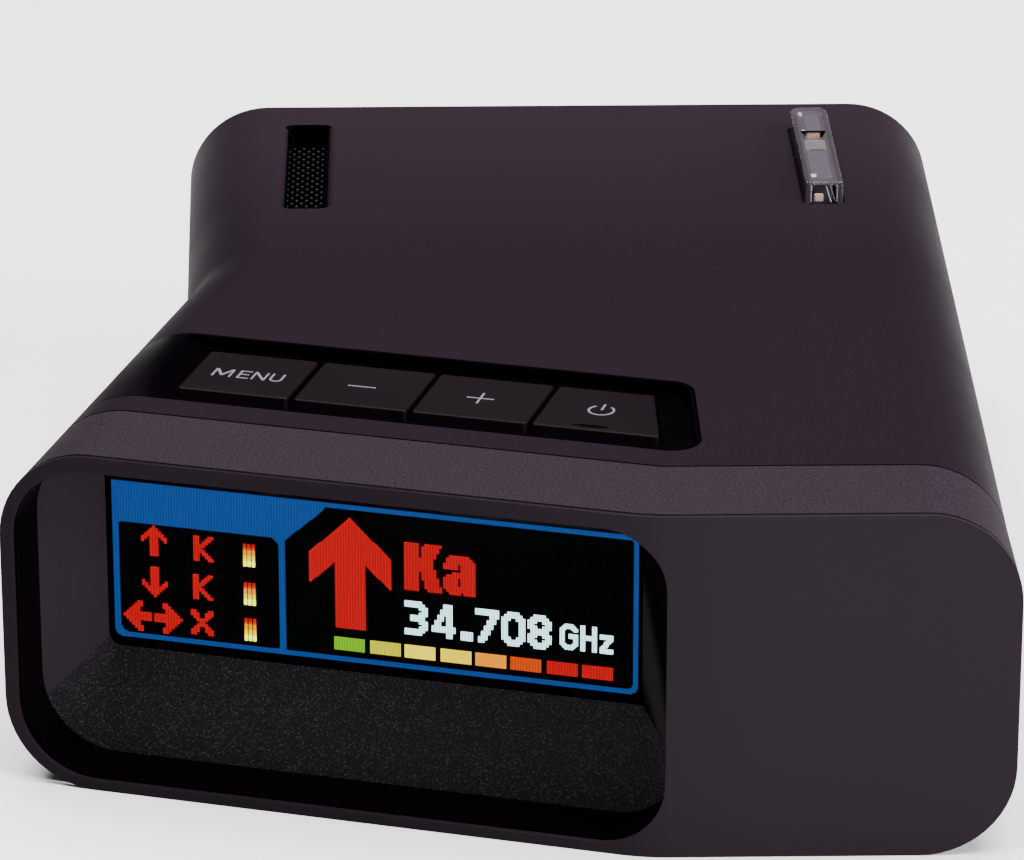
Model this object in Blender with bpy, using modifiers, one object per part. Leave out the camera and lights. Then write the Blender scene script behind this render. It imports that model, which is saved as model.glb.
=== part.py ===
"""A dashboard radar detector, modelled as the assembly of its moulded shells, keys, display, antennas and boards.

Lengths in the constants are millimetres. Two frames place everything:
- the body frame has x to the right, y away from the driver with 0 at the flat right part of the face, and z up from
  the base;
- the display frame turns that about z at the face's fold, so that its x runs along the angled display part of the
  face and its y runs straight back from it.
"""

import math

import bmesh
import bpy
from mathutils import Matrix, Vector

MM = 0.001

# Driving dimensions of the housing.
WIDTH = 90.0
DEPTH = 114.0
HEIGHT = 32.5
RIGHT = WIDTH / 2
LEFT = -WIDTH / 2
REAR_LEFT = -30.1            # left wall of the narrow part, where it begins
END_LEFT = REAR_LEFT - 1.2   # both walls at the road-facing end, which the housing widens towards
END_RIGHT = RIGHT + 1.6
FOLD_X = 12.26               # where the face bends towards the driver
DISPLAY_ANGLE = math.radians(16.8)
WAIST_Y = 69.0               # where the flared side meets the narrow part
FOLD_RADIUS = 15.0
WAIST_RADIUS = 10.0
TOP_RADIUS = 8.4
BASE_RADIUS = 8.5
WALL = 2.0
GAP = 0.3                    # clearance that neighbouring mouldings keep

# Depths behind the face.
PLATE_SKIN = 0.45
BAND_FRONT = 0.8
BAND_BACK = 11.7
HOUSING_FRONT = 12.0
PARTING = 12.0               # height of the joint between the upper and lower housings

# Display recess, in the display frame: x along the face, z up.
RECESS = (-58.6, 1.7, 1.0, 31.0)
RECESS_RADII = (7.2, 6.0, 5.7, 6.8)     # low left, low right, high right, high left
SCREEN = (-53.4, -2.9, 9.95, 26.4)
SCREEN_CORNER = 1.2          # radius of its low left corner
HOOD_FRONT = 6.4
HOOD_BACK = 10.2
HOOD_RIM = 0.55              # how far the hood reaches out behind the recess's edge
HOOD_RIM_LOW = 0.3           # the same below it
WINDOW_FRONT = 10.5
OLED_FRONT = 11.7

# Key tray and keys, in the display frame except for the right-hand ends, which run straight back in the body frame.
TRAY_FRONT = 15.7
TRAY_BACK = 32.3
TRAY_RIGHT = 17.75
TRAY_CORNER = 2.6
TRAY_SKIRT = 14.0            # height where the tray's wrap on the left side ends
TRAY_SINK = 1.1              # how far the tray's floor lies under the top surface
TRAY_FLUSH_END = -51.5       # where its flush left end begins
TRAY_RIM = 0.4
KEY_FRONT = 19.1
KEY_BACK = 28.9
KEY_RIGHT = 14.15
KEY_TOP = HEIGHT - 0.2
KEY_BASE = 28.5              # underside of the keys' caps
KEY_TRAVEL = 0.5
KEY_CLEARANCE = 0.35         # between the keys and the rim of their opening
KEY_HOLE_CORNER = 0.9
KEY_EDGES = {"menu_key": (-49.35, -38.85), "volume_down_key": (-38.25, -27.5), "volume_up_key": (-27.0, -16.2),
             "power_key": (-15.7, None)}
POWER_KEY_END = 0.5          # its right-hand end, taken along the display frame at half its depth
FLANGE_HEIGHTS = (28.0, 30.0)
FLANGE_REACH = 1.2           # how far the keys' flanges reach under the tray, front and back
FLANGE_INSET = 0.4           # how far they end short of the neighbouring keys
KEY_STEM_RADIUS = 1.6
SWITCH_TOP = 26.1
SWITCH_HALF = 2.6            # half the side of a key's switch
ACTUATOR_RADIUS = 1.3
KEY_BOARD_ENDS = ((-50.0, 17.0), (2.0, 17.0), (0.5, 30.5), (-50.0, 30.5))

# Slots in the top of the narrow part, both 26 mm from its centre line.
SLOT_OFFSET = 26.0
SLOT_CENTRE = (REAR_LEFT + RIGHT) / 2
GRILLE_X = SLOT_CENTRE - SLOT_OFFSET
PRISM_X = SLOT_CENTRE + SLOT_OFFSET
SLOT_START = 81.9
GRILLE_END = 107.6
GRILLE_WIDTH = 4.3
PRISM_END = 105.9
PRISM_WIDTH = 3.8
PRISM_RISE = 2.2
NOTCH = (95.9, 98.0)         # from near to far along the light pipe's top
NOTCH_WIDTHS = (1.3, 2.4)    # at its near and far side
NOTCH_DEPTH = 1.2

# Sockets on the right side: centre y, width, low z, high z.
POWER_SOCKET = (92.0, 12.0, 7.9, 19.4)
AUDIO_SOCKET = (76.0, 6.0, 7.9, 12.9)
DATA_SOCKET = (64.0, 7.8, 7.9, 11.9)
SOCKET_FACE = RIGHT + 0.4    # just inside the side wall, which has widened there

# Case screws, with the radii of their parts and of the holes and bosses that take them.
SCREW_HEAD = 2.3
SCREW_SHANK = 1.1
SCREW_HOLE = 1.4
SCREW_DRIVE = 0.9
BOSS = 2.4
FOOT = 3.5
COUNTERBORE = 2.7
BOARD_NOTCH = 2.8
SCREW_SPOTS = {"front_left": (-26.0, 48.0), "front_right": (33.5, 20.0), "rear_left": (-18.5, 75.5),
               "rear_right": (33.0, 108.3)}

# Laser window in the road-facing end: centre x, width, low z, high z.
LASER_WINDOW = (-14.0, 12.6, 13.5, 21.1)

# Inner parts, each as its x, y and z from low to high.
PLATE_RIB = ((22.0, 41.5), (0.4, 2.6), (14.0, 18.0))
MUTE_BOARD = ((24.0, 42.0), (10.3, 11.5), (8.0, 24.0))
MUTE_SWITCH = ((31.0, 37.0), (8.0, 10.0), (13.0, 19.0))
MICROWAVE_BOARD = ((-1.0, 22.0), (56.0, 88.0), (22.4, 23.6))
SHIELD_CAN = ((1.0, 20.0), (58.0, 86.0), (23.9, 27.4))
GPS_BOARD = ((-26.0, -6.0), (56.0, 71.5), (21.4, 22.4))
GPS_ANTENNA = ((-24.5, -10.5), (57.0, 70.8), (22.7, 26.7))
MUTE_SPOT = (34.0, 16.0)     # x and z of the mute key's pusher

# Each finish is colour, roughness, metallic.
FINISHES = {
    "satin_black": ((0.030, 0.026, 0.030), 0.45, 0.0),
    "grained_black": ((0.055, 0.050, 0.055), 0.75, 0.0),
    "face_black": ((0.034, 0.030, 0.034), 0.50, 0.0),
    "gloss_black": ((0.006, 0.005, 0.006), 0.12, 0.0),
    "hood_black": ((0.030, 0.028, 0.031), 0.70, 0.0),
    "key_black": ((0.014, 0.013, 0.014), 0.40, 0.0),
    "screen_glass": ((0.010, 0.012, 0.020), 0.05, 0.0),
    "clear_acrylic": ((0.80, 0.80, 0.85), 0.05, 0.0),
    "infrared_black": ((0.030, 0.004, 0.008), 0.10, 0.0),
    "board_green": ((0.020, 0.120, 0.050), 0.50, 0.0),
    "cast_metal": ((0.550, 0.550, 0.560), 0.45, 1.0),
    "sheet_metal": ((0.620, 0.620, 0.640), 0.30, 1.0),
    "black_part": ((0.020, 0.020, 0.022), 0.50, 0.0),
    "ceramic": ((0.600, 0.520, 0.420), 0.60, 0.0),
    "cone_paper": ((0.050, 0.045, 0.040), 0.90, 0.0),
    "ribbon": ((0.350, 0.140, 0.020), 0.40, 0.0),
    "wire_insulation": ((0.300, 0.010, 0.010), 0.45, 0.0),
    "screw_steel": ((0.130, 0.130, 0.140), 0.35, 1.0),
}

ARC_STEPS = 5


def clear_scene():
    for obj in list(bpy.data.objects):
        bpy.data.objects.remove(obj, do_unlink=True)


def make_collection(name):
    collection = bpy.data.collections.new(name)
    bpy.context.scene.collection.children.link(collection)
    return collection


def make_materials():
    materials = {}
    for name, (colour, roughness, metallic) in FINISHES.items():
        material = bpy.data.materials.new(name)
        material.use_nodes = True
        shader = material.node_tree.nodes["Principled BSDF"]
        shader.inputs["Base Color"].default_value = (*colour, 1.0)
        shader.inputs["Roughness"].default_value = roughness
        shader.inputs["Metallic"].default_value = metallic
        materials[name] = material
    return materials


clear_scene()
PARTS = make_collection("radar_detector")
CUTTERS = make_collection("cutters")
MATERIALS = make_materials()


def make_frame(name, location, turn=0.0, parent=None):
    """An empty that carries the parts of one frame."""
    empty = bpy.data.objects.new(name, None)
    empty.location = Vector(location) * MM
    empty.rotation_euler = (0.0, 0.0, turn)
    empty.parent = parent
    PARTS.objects.link(empty)
    return empty


BODY = make_frame("body_frame", (-(LEFT + END_RIGHT) / 2, -DEPTH / 2, 0.0))
DISPLAY = make_frame("display_frame", (FOLD_X, 0.0, 0.0), -DISPLAY_ANGLE, BODY)


# Plan geometry, in millimetres.

def to_body(along, back):
    """A point of the display frame, in the body frame."""
    c, s = math.cos(DISPLAY_ANGLE), math.sin(DISPLAY_ANGLE)
    return Vector((FOLD_X + c * along + s * back, -s * along + c * back))


def meet(point, direction, other_point, other_direction):
    """Where two lines of the plan cross."""
    across = direction.x * other_direction.y - direction.y * other_direction.x
    offset = other_point - point
    return point + direction * ((offset.x * other_direction.y - offset.y * other_direction.x) / across)


def rounded(corners, steps=ARC_STEPS):
    """A closed outline from (point, radius) corners, with an arc at each corner that has a radius."""
    outline = []
    for i, (corner, radius) in enumerate(corners):
        corner = Vector(corner)
        if radius <= 0:
            outline.append(corner)
            continue
        before = (Vector(corners[i - 1][0]) - corner).normalized()
        after = (Vector(corners[(i + 1) % len(corners)][0]) - corner).normalized()
        half = before.angle(after) / 2
        centre = corner + (before + after).normalized() * (radius / math.sin(half))
        start = corner + before * (radius / math.tan(half)) - centre
        end = corner + after * (radius / math.tan(half)) - centre
        sweep = start.angle_signed(end)
        for k in range(steps + 1):
            outline.append(centre + Matrix.Rotation(-sweep * k / steps, 2) @ start)
    return outline


def rounded_box(low_x, high_x, low_y, high_y, low_radius=0.0, high_radius=None, steps=ARC_STEPS):
    """A rectangle whose low corners have one radius and whose high corners may have another."""
    high_radius = low_radius if high_radius is None else high_radius
    return rounded([((low_x, low_y), low_radius), ((high_x, low_y), low_radius),
                    ((high_x, high_y), high_radius), ((low_x, high_y), high_radius)], steps)


FLARE_TOP = Vector((REAR_LEFT, WAIST_Y))
FLARE_FOOT = Vector((LEFT, (FOLD_X - LEFT) * math.tan(DISPLAY_ANGLE)))
FLARE_RUN = (FLARE_TOP - FLARE_FOOT).normalized()
FLARE_IN = Vector((FLARE_RUN.y, -FLARE_RUN.x))
FACE_RUN = to_body(1, 0) - to_body(0, 0)
X_RUN = Vector((1.0, 0.0))
Y_RUN = Vector((0.0, 1.0))


def flare_line(inset):
    return FLARE_FOOT + FLARE_IN * inset, FLARE_RUN


def face_corners(back, inset):
    """The left end, the fold and the right end of the face's outline, moved back and in from the sides."""
    left = meet(*flare_line(inset), to_body(0, back), FACE_RUN)
    fold = meet(to_body(0, back), FACE_RUN, Vector((0.0, back)), X_RUN)
    return left, fold, Vector((RIGHT - inset, back))


def housing_outline(front, inset, end):
    """Plan of the housing behind a given distance from the face."""
    left, fold, right = face_corners(front, inset)
    waist = meet(*flare_line(inset), Vector((REAR_LEFT + inset, 0.0)), Y_RUN)
    return rounded([(right, 0), ((END_RIGHT - inset, end), 0), ((END_LEFT + inset, end), 0),
                    (waist, WAIST_RADIUS + inset), (left, 0), (fold, max(FOLD_RADIUS - front, 0))])


def band_outline(front, back, inset):
    """Plan of a strip that follows both parts of the face."""
    left, fold, right = face_corners(front, inset)
    back_left, back_fold, back_right = face_corners(back, inset)
    return rounded([(right, 0), (back_right, 0), (back_fold, FOLD_RADIUS - back), (back_left, 0), (left, 0),
                    (fold, FOLD_RADIUS - front)])


def tray_outline(clearance, left=None):
    """Plan of the key tray: its right end runs straight back and its left end may be given as a distance along."""
    front, back, right = TRAY_FRONT + clearance, TRAY_BACK - clearance, TRAY_RIGHT - clearance
    corner = TRAY_CORNER - clearance
    ends = [meet(to_body(0, b), FACE_RUN, Vector((right, 0.0)), Y_RUN) for b in (front, back)]
    if left is None:
        starts = [meet(to_body(0, b), FACE_RUN, *flare_line(-2.0)) for b in (front, back)]
    else:
        starts = [to_body(left, b) for b in (front, back)]
    return rounded([(starts[0], 0), (ends[0], corner), (ends[1], corner), (starts[1], 0)])


def key_outline(left, right, front, back, grow=0.0):
    """Plan of a key or of the keys' opening. Without a right edge it ends where the tray's end runs straight back."""
    if right is not None:
        return [to_body(left, front), to_body(right, front), to_body(right, back), to_body(left, back)]
    ends = [meet(to_body(0, b), FACE_RUN, Vector((KEY_RIGHT + grow, 0.0)), Y_RUN) for b in (front, back)]
    return [to_body(left, front), ends[0], ends[1], to_body(left, back)]


# Solids.

def place(obj, material, frame, cutter=False):
    (CUTTERS if cutter else PARTS).objects.link(obj)
    obj.parent = frame
    if cutter:
        obj.hide_render = True
        obj.display_type = "WIRE"
    else:
        obj.data.materials.clear()
        obj.data.materials.append(MATERIALS[material])
    return obj


def extrusion(name, outline, low, high, material=None, frame=None):
    """A flat outline raised from low to high along z. Without a material it is a cutter."""
    curve = bpy.data.curves.new(name, "CURVE")
    curve.dimensions = "2D"
    curve.fill_mode = "BOTH"
    curve.extrude = (high - low) / 2 * MM
    spline = curve.splines.new("POLY")
    spline.points.add(len(outline) - 1)
    for point, (x, y) in zip(spline.points, outline):
        point.co = (x * MM, y * MM, 0.0, 1.0)
    spline.use_cyclic_u = True
    flat = bpy.data.objects.new(name, curve)
    PARTS.objects.link(flat)
    bpy.context.view_layer.update()
    mesh = bpy.data.meshes.new_from_object(flat.evaluated_get(bpy.context.evaluated_depsgraph_get()))
    bpy.data.objects.remove(flat)
    mesh.transform(Matrix.Translation((0.0, 0.0, (low + high) / 2 * MM)))
    merge_flat_faces(mesh)
    return place(bpy.data.objects.new(name, mesh), material, frame or BODY, material is None)


def merge_flat_faces(mesh):
    bm = bmesh.new()
    bm.from_mesh(mesh)
    bmesh.ops.remove_doubles(bm, verts=bm.verts, dist=1e-6)
    bmesh.ops.dissolve_limit(bm, angle_limit=0.01, verts=bm.verts, edges=bm.edges)
    bmesh.ops.recalc_face_normals(bm, faces=bm.faces)
    bm.to_mesh(mesh)
    bm.free()


def facing_extrusion(name, outline, front, back, material=None, frame=None):
    """An outline drawn as seen from the front, x across and z up, running from front to back along y."""
    obj = extrusion(name, outline, -back, -front, material, frame or DISPLAY)
    obj.rotation_euler = (math.pi / 2, 0.0, 0.0)
    return obj


def side_extrusion(name, outline, low, high, material=None, frame=None):
    """An outline drawn as seen from the right, y across and z up, running from low to high along x."""
    obj = extrusion(name, outline, low, high, material, frame or BODY)
    obj.rotation_euler = Matrix(((0, 0, 1), (1, 0, 0), (0, 1, 0))).to_euler()
    return obj


def box(name, x, y, z, material=None, frame=None, edge=0.0):
    """A box between pairs of x, y and z, with rounded edges if an edge radius is given."""
    bpy.ops.mesh.primitive_cube_add(size=1.0)
    obj = bpy.context.object
    obj.name = obj.data.name = name
    lows, highs = Vector((x[0], y[0], z[0])), Vector((x[1], y[1], z[1]))
    spans = (highs - lows) * MM
    obj.data.transform(Matrix.Translation((lows + highs) / 2 * MM) @ Matrix.Diagonal((*spans, 1.0)))
    for collection in list(obj.users_collection):
        collection.objects.unlink(obj)
    place(obj, material, frame or BODY, material is None)
    if edge:
        bevel = obj.modifiers.new("rounded edges", "BEVEL")
        bevel.width = edge * MM
        bevel.segments = 2
    return obj


def cylinder(name, centre, radius, low, high, material=None, frame=None, axis="Z", sides=24):
    """A cylinder from low to high along its axis. The centre gives the other two coordinates in order."""
    bpy.ops.mesh.primitive_cylinder_add(vertices=sides, radius=radius * MM, depth=(high - low) * MM)
    obj = bpy.context.object
    obj.name = obj.data.name = name
    middle = (low + high) / 2
    turn = {"Z": Matrix.Identity(4), "Y": Matrix.Rotation(math.pi / 2, 4, "X"),
            "X": Matrix.Rotation(math.pi / 2, 4, "Y")}[axis]
    spot = {"Z": (centre[0], centre[1], middle), "Y": (centre[0], middle, centre[1]),
            "X": (middle, centre[0], centre[1])}[axis]
    obj.data.transform(Matrix.Translation(Vector(spot) * MM) @ turn)
    for collection in list(obj.users_collection):
        collection.objects.unlink(obj)
    return place(obj, material, frame or BODY, material is None)


def turned(name, profile, centre, material, steps=24):
    """A solid turned about a vertical axis from (radius, height) points, listed from the top of the outside down."""
    closed = profile[0] == profile[-1]
    points = profile[:-1] if closed else profile
    edges = [(i, i + 1) for i in range(len(points) - 1)]
    if closed:
        edges.append((len(points) - 1, 0))
    mesh = bpy.data.meshes.new(name)
    mesh.from_pydata([(radius * MM, 0.0, height * MM) for radius, height in points], edges, [])
    obj = place(bpy.data.objects.new(name, mesh), material, BODY)
    obj.location = (centre[0] * MM, centre[1] * MM, 0.0)
    screw = obj.modifiers.new("turned", "SCREW")
    screw.steps = screw.render_steps = steps
    screw.use_merge_vertices = True
    screw.merge_threshold = 0.00001
    return obj


def tube(name, path, radius, material):
    """A round wire through points of the body frame, read from a smooth curve through them."""
    points = [Vector(p) for p in path]
    ends = [points[0] * 2 - points[1], *points, points[-1] * 2 - points[-2]]
    curve = bpy.data.curves.new(name, "CURVE")
    curve.dimensions = "3D"
    curve.bevel_depth = radius * MM
    curve.bevel_resolution = 1
    curve.use_fill_caps = True
    route = []
    for a, b, c, d in zip(ends, ends[1:], ends[2:], ends[3:]):
        for k in range(4):
            t = k / 4
            route.append(0.5 * (2 * b + (c - a) * t + (2 * a - 5 * b + 4 * c - d) * t**2
                                + (3 * b - a - 3 * c + d) * t**3))
    route.append(points[-1])
    spline = curve.splines.new("POLY")
    spline.points.add(len(route) - 1)
    for point, spot in zip(spline.points, route):
        point.co = (*(spot * MM), 1.0)
    return place(bpy.data.objects.new(name, curve), material, BODY)


def round_side_edges(obj, radius, height):
    """Rounds the level edges at one height that run along the side walls and leaves the front and back ones sharp."""
    bm = bmesh.new()
    bm.from_mesh(obj.data)
    chosen = []
    for edge in bm.edges:
        run = edge.verts[1].co - edge.verts[0].co
        level = all(abs(v.co.z / MM - height) < 0.01 for v in edge.verts)
        if level and abs(run.y) > abs(run.x):
            chosen.append(edge)
    bmesh.ops.bevel(bm, geom=chosen, offset=radius * MM, segments=5, profile=0.5, affect="EDGES")
    bm.to_mesh(obj.data)
    bm.free()


def cut(obj, *cutters, operation="DIFFERENCE"):
    for cutter in cutters:
        modifier = obj.modifiers.new(cutter.name, "BOOLEAN")
        modifier.object = cutter
        modifier.operation = operation
    return obj


def join(obj, *additions):
    return cut(obj, *additions, operation="UNION")


def housing_solid(name, front, inset, end, low, high, top=None, base=None, material=None):
    """The housing's plan between two heights, with its side edges rounded at the top, at the base or both."""
    obj = extrusion(name, housing_outline(front, inset, end), low, high, material)
    if top:
        round_side_edges(obj, top, high)
    if base:
        round_side_edges(obj, base, low)
    return obj


def face_solid(name, front, back, material):
    """A strip of the face from front to back, with the housing's rounded edges."""
    obj = extrusion(name, band_outline(front, back, 0.0), 0.0, HEIGHT, material)
    round_side_edges(obj, TOP_RADIUS, HEIGHT)
    round_side_edges(obj, BASE_RADIUS, 0.0)
    return obj


def loft(name, near, far, front, back, material=None, frame=None):
    """A solid between two outlines of equal count, each seen from the front, at two depths along y."""
    bm = bmesh.new()
    rings = []
    for outline, depth in ((near, front), (far, back)):
        rings.append([bm.verts.new((x * MM, depth * MM, z * MM)) for x, z in outline])
    count = len(near)
    for i in range(count):
        j = (i + 1) % count
        bm.faces.new((rings[0][i], rings[0][j], rings[1][j], rings[1][i]))
    bm.faces.new(rings[0])
    bm.faces.new(rings[1])
    mesh = bpy.data.meshes.new(name)
    bm.to_mesh(mesh)
    bm.free()
    merge_flat_faces(mesh)
    return place(bpy.data.objects.new(name, mesh), material, frame or BODY, material is None)


def set_origin(obj, point):
    """Moves an unturned object's origin to a point of its frame."""
    shift = Vector(point) * MM - obj.location
    obj.data.transform(Matrix.Translation(-shift))
    obj.location += shift
    return obj


def soften(obj, radius, segments=2, angle=30):
    bevel = obj.modifiers.new("softened edges", "BEVEL")
    bevel.width = radius * MM
    bevel.segments = segments
    bevel.limit_method = "ANGLE"
    bevel.angle_limit = math.radians(angle)
    return obj


def smooth(obj, angle=35):
    """Shades the gently curved faces smooth and keeps the sharp edges."""
    obj.data.shade_smooth()
    obj.data.set_sharp_from_angle(angle=math.radians(angle))
    return obj


# Openings that several pieces share.

RECESS_LEFT, RECESS_RIGHT, RECESS_LOW, RECESS_HIGH = RECESS
SCREEN_LEFT, SCREEN_RIGHT, SCREEN_LOW, SCREEN_HIGH = SCREEN
LASER_X, LASER_WIDTH, LASER_LOW, LASER_HIGH = LASER_WINDOW


def recess_outline(margin=0.0, low_margin=None):
    """The display recess as seen from the front, grown by a margin that may be another one at its lower edge."""
    low = RECESS_LOW - (margin if low_margin is None else low_margin)
    left, right, high = RECESS_LEFT - margin, RECESS_RIGHT + margin, RECESS_HIGH + margin
    corners = [(left, low), (right, low), (right, high), (left, high)]
    return rounded([(corner, radius + margin) for corner, radius in zip(corners, RECESS_RADII)])


def laser_outline(margin):
    half = LASER_WIDTH / 2 + margin
    return rounded_box(LASER_X - half, LASER_X + half, LASER_LOW - margin, LASER_HIGH + margin, 1.2, steps=2)


def socket_box(name, socket, margin, near, far, material=None):
    """A box at a side socket, grown by a margin all round."""
    centre, width, low, high = socket
    return box(name, (near, far), (centre - width / 2 - margin, centre + width / 2 + margin),
               (low - margin, high + margin), material)


def slot_outline(x, width, start, end, margin):
    half = width / 2 + margin
    return rounded_box(x - half, x + half, start - margin, end + margin, 0.9, steps=2)


# Housing.

cavity = housing_solid("cavity", HOUSING_FRONT - 1.0, WALL, DEPTH - WALL, WALL, HEIGHT - WALL, TOP_RADIUS - WALL,
                       BASE_RADIUS - WALL)
tray_hole = extrusion("tray_hole", tray_outline(-GAP), TRAY_SKIRT - GAP, HEIGHT + 1)
grille_hole = extrusion("grille_hole", slot_outline(GRILLE_X, GRILLE_WIDTH, SLOT_START, GRILLE_END, 0.0),
                        HEIGHT - 3, HEIGHT + 1)
prism_hole = extrusion("prism_hole", slot_outline(PRISM_X, PRISM_WIDTH, SLOT_START, PRISM_END, GAP),
                       HEIGHT - 3, HEIGHT + 1)
laser_hole = facing_extrusion("laser_hole", laser_outline(GAP), DEPTH - WALL - 1, DEPTH + 1, None, BODY)
socket_holes = [socket_box(f"socket_hole_{i}", socket, GAP, RIGHT - WALL - 1, END_RIGHT + 1)
                for i, socket in enumerate((POWER_SOCKET, AUDIO_SOCKET, DATA_SOCKET))]

top_cover = smooth(housing_solid("top_cover", HOUSING_FRONT, 0.0, DEPTH, PARTING, HEIGHT, top=TOP_RADIUS,
                                 material="satin_black"))
cut(top_cover, cavity, tray_hole, grille_hole, prism_hole, laser_hole, *socket_holes)

bottom_cover = smooth(housing_solid("bottom_cover", HOUSING_FRONT, 0.0, DEPTH, 0.0, PARTING - GAP,
                                    base=BASE_RADIUS, material="grained_black"))
cut(bottom_cover, cavity, *socket_holes)

# Four screws from below, each in a counterbore of the bottom cover and a boss of the top cover.

board_notches = []
for label, spot in SCREW_SPOTS.items():
    join(top_cover, cylinder(f"boss_{label}", spot, BOSS, 4.8, HEIGHT - WALL + 0.8, sides=20))
    cut(top_cover, cylinder(f"boss_bore_{label}", spot, SCREW_HOLE, 3.0, 14.0, sides=16))
    join(bottom_cover, cylinder(f"foot_{label}", spot, FOOT, 0.5, 4.4, sides=24))
    cut(bottom_cover, cylinder(f"counterbore_{label}", spot, COUNTERBORE, -1.0, 3.0, sides=24),
        cylinder(f"screw_way_{label}", spot, SCREW_HOLE, 2.0, 6.0, sides=16))
    board_notches.append(cylinder(f"board_notch_{label}", spot, BOARD_NOTCH, 4.0, 10.0, sides=20))
    screw = cylinder(f"case_screw_{label}", spot, SCREW_HEAD, 1.2, 2.7, "screw_steel", sides=20)
    join(screw, cylinder(f"screw_shank_{label}", spot, SCREW_SHANK, 2.5, 12.0, sides=16))
    cut(screw, cylinder(f"screw_drive_{label}", spot, SCREW_DRIVE, 0.0, 1.9, sides=6))

# Front band between the covers and the face plate.

hood_pocket = facing_extrusion("hood_pocket", recess_outline(HOOD_RIM + GAP, HOOD_RIM_LOW + GAP), -6.0, 16.0)
right_pocket = facing_extrusion("right_pocket", rounded_box(20.5, RIGHT - WALL, WALL, HEIGHT - WALL,
                                                            BASE_RADIUS - WALL, TOP_RADIUS - WALL), -2.0, 16.0,
                                None, BODY)
front_band = smooth(face_solid("front_band", BAND_FRONT, BAND_BACK, "grained_black"))
cut(front_band, hood_pocket, right_pocket)

# Face plate: display surround and mute key in one, with a rib and a pusher behind its flat right part.

recess_opening = facing_extrusion("recess_opening", recess_outline(), -6.0, 6.0)
face_plate = set_origin(smooth(face_solid("face_plate", 0.0, PLATE_SKIN, "face_black")), (*FLARE_FOOT, 0.0))
cut(face_plate, recess_opening)
join(face_plate, box("plate_rib", *PLATE_RIB), cylinder("plate_pusher", MUTE_SPOT, 1.2, 1.0, 6.4, axis="Y", sides=16))

box("mute_board", *MUTE_BOARD, "board_green")
join(box("mute_switch", *MUTE_SWITCH, "black_part"),
     cylinder("mute_switch_stem", MUTE_SPOT, 1.5, 6.8, 8.5, axis="Y", sides=16))

# Display: collar and sloping hood, window, panel and its ribbon.

screen_outline = rounded([((SCREEN_LEFT, SCREEN_LOW), SCREEN_CORNER), ((SCREEN_RIGHT, SCREEN_LOW), 0),
                          ((SCREEN_RIGHT, SCREEN_HIGH), 0), ((SCREEN_LEFT, SCREEN_HIGH), 0)])
screen_ring = screen_outline[:-3] + [corner for corner in screen_outline[-3:] for _ in range(ARC_STEPS + 1)]
hood_slope = loft("hood_slope", recess_outline(), screen_ring, HOOD_FRONT, HOOD_BACK, frame=DISPLAY)
hood_collar = facing_extrusion("hood_collar", recess_outline(), -6.0, HOOD_FRONT + 0.01)
hood_window = facing_extrusion("hood_window", screen_outline, HOOD_BACK - 0.3, HOOD_BACK + 2.0)
face_trim = extrusion("face_trim", band_outline(-8.0, BAND_FRONT + 0.1, -5.0), -2.0, HEIGHT + 2)
display_hood = smooth(facing_extrusion("display_hood", recess_outline(HOOD_RIM, HOOD_RIM_LOW), -2.0, HOOD_BACK,
                                       "hood_black"))
cut(display_hood, hood_slope, hood_collar, hood_window, face_trim)

box("display_window", (SCREEN_LEFT - 1.6, SCREEN_RIGHT + 1.4), (WINDOW_FRONT, WINDOW_FRONT + 0.9),
    (SCREEN_LOW - 1.6, SCREEN_HIGH + 1.6), "screen_glass", DISPLAY)
box("display_panel", (SCREEN_LEFT - 1.0, SCREEN_RIGHT + 1.0), (OLED_FRONT, OLED_FRONT + 1.7),
    (SCREEN_LOW - 2.0, SCREEN_HIGH + 1.0), "black_part", DISPLAY)

# Key tray, keys, their board and switches.

tray_floor_cut = extrusion("tray_floor_cut", tray_outline(TRAY_RIM, TRAY_FLUSH_END), HEIGHT - TRAY_SINK, HEIGHT + 1)
key_field = key_outline(KEY_EDGES["menu_key"][0] - KEY_CLEARANCE, None, KEY_FRONT - KEY_CLEARANCE,
                        KEY_BACK + KEY_CLEARANCE, KEY_CLEARANCE)
key_hole = extrusion("key_hole", rounded([(point, KEY_HOLE_CORNER) for point in key_field], 2), HEIGHT - 6,
                     HEIGHT + 1)
tray_body = extrusion("tray_body", tray_outline(0.0), TRAY_SKIRT, HEIGHT + 1)
button_tray = smooth(housing_solid("button_tray", HOUSING_FRONT, 0.0, DEPTH, TRAY_SKIRT, HEIGHT, top=TOP_RADIUS,
                                   material="gloss_black"))
cut(button_tray, cavity)
cut(button_tray, tray_body, operation="INTERSECT")
cut(button_tray, tray_floor_cut, key_hole)

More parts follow.
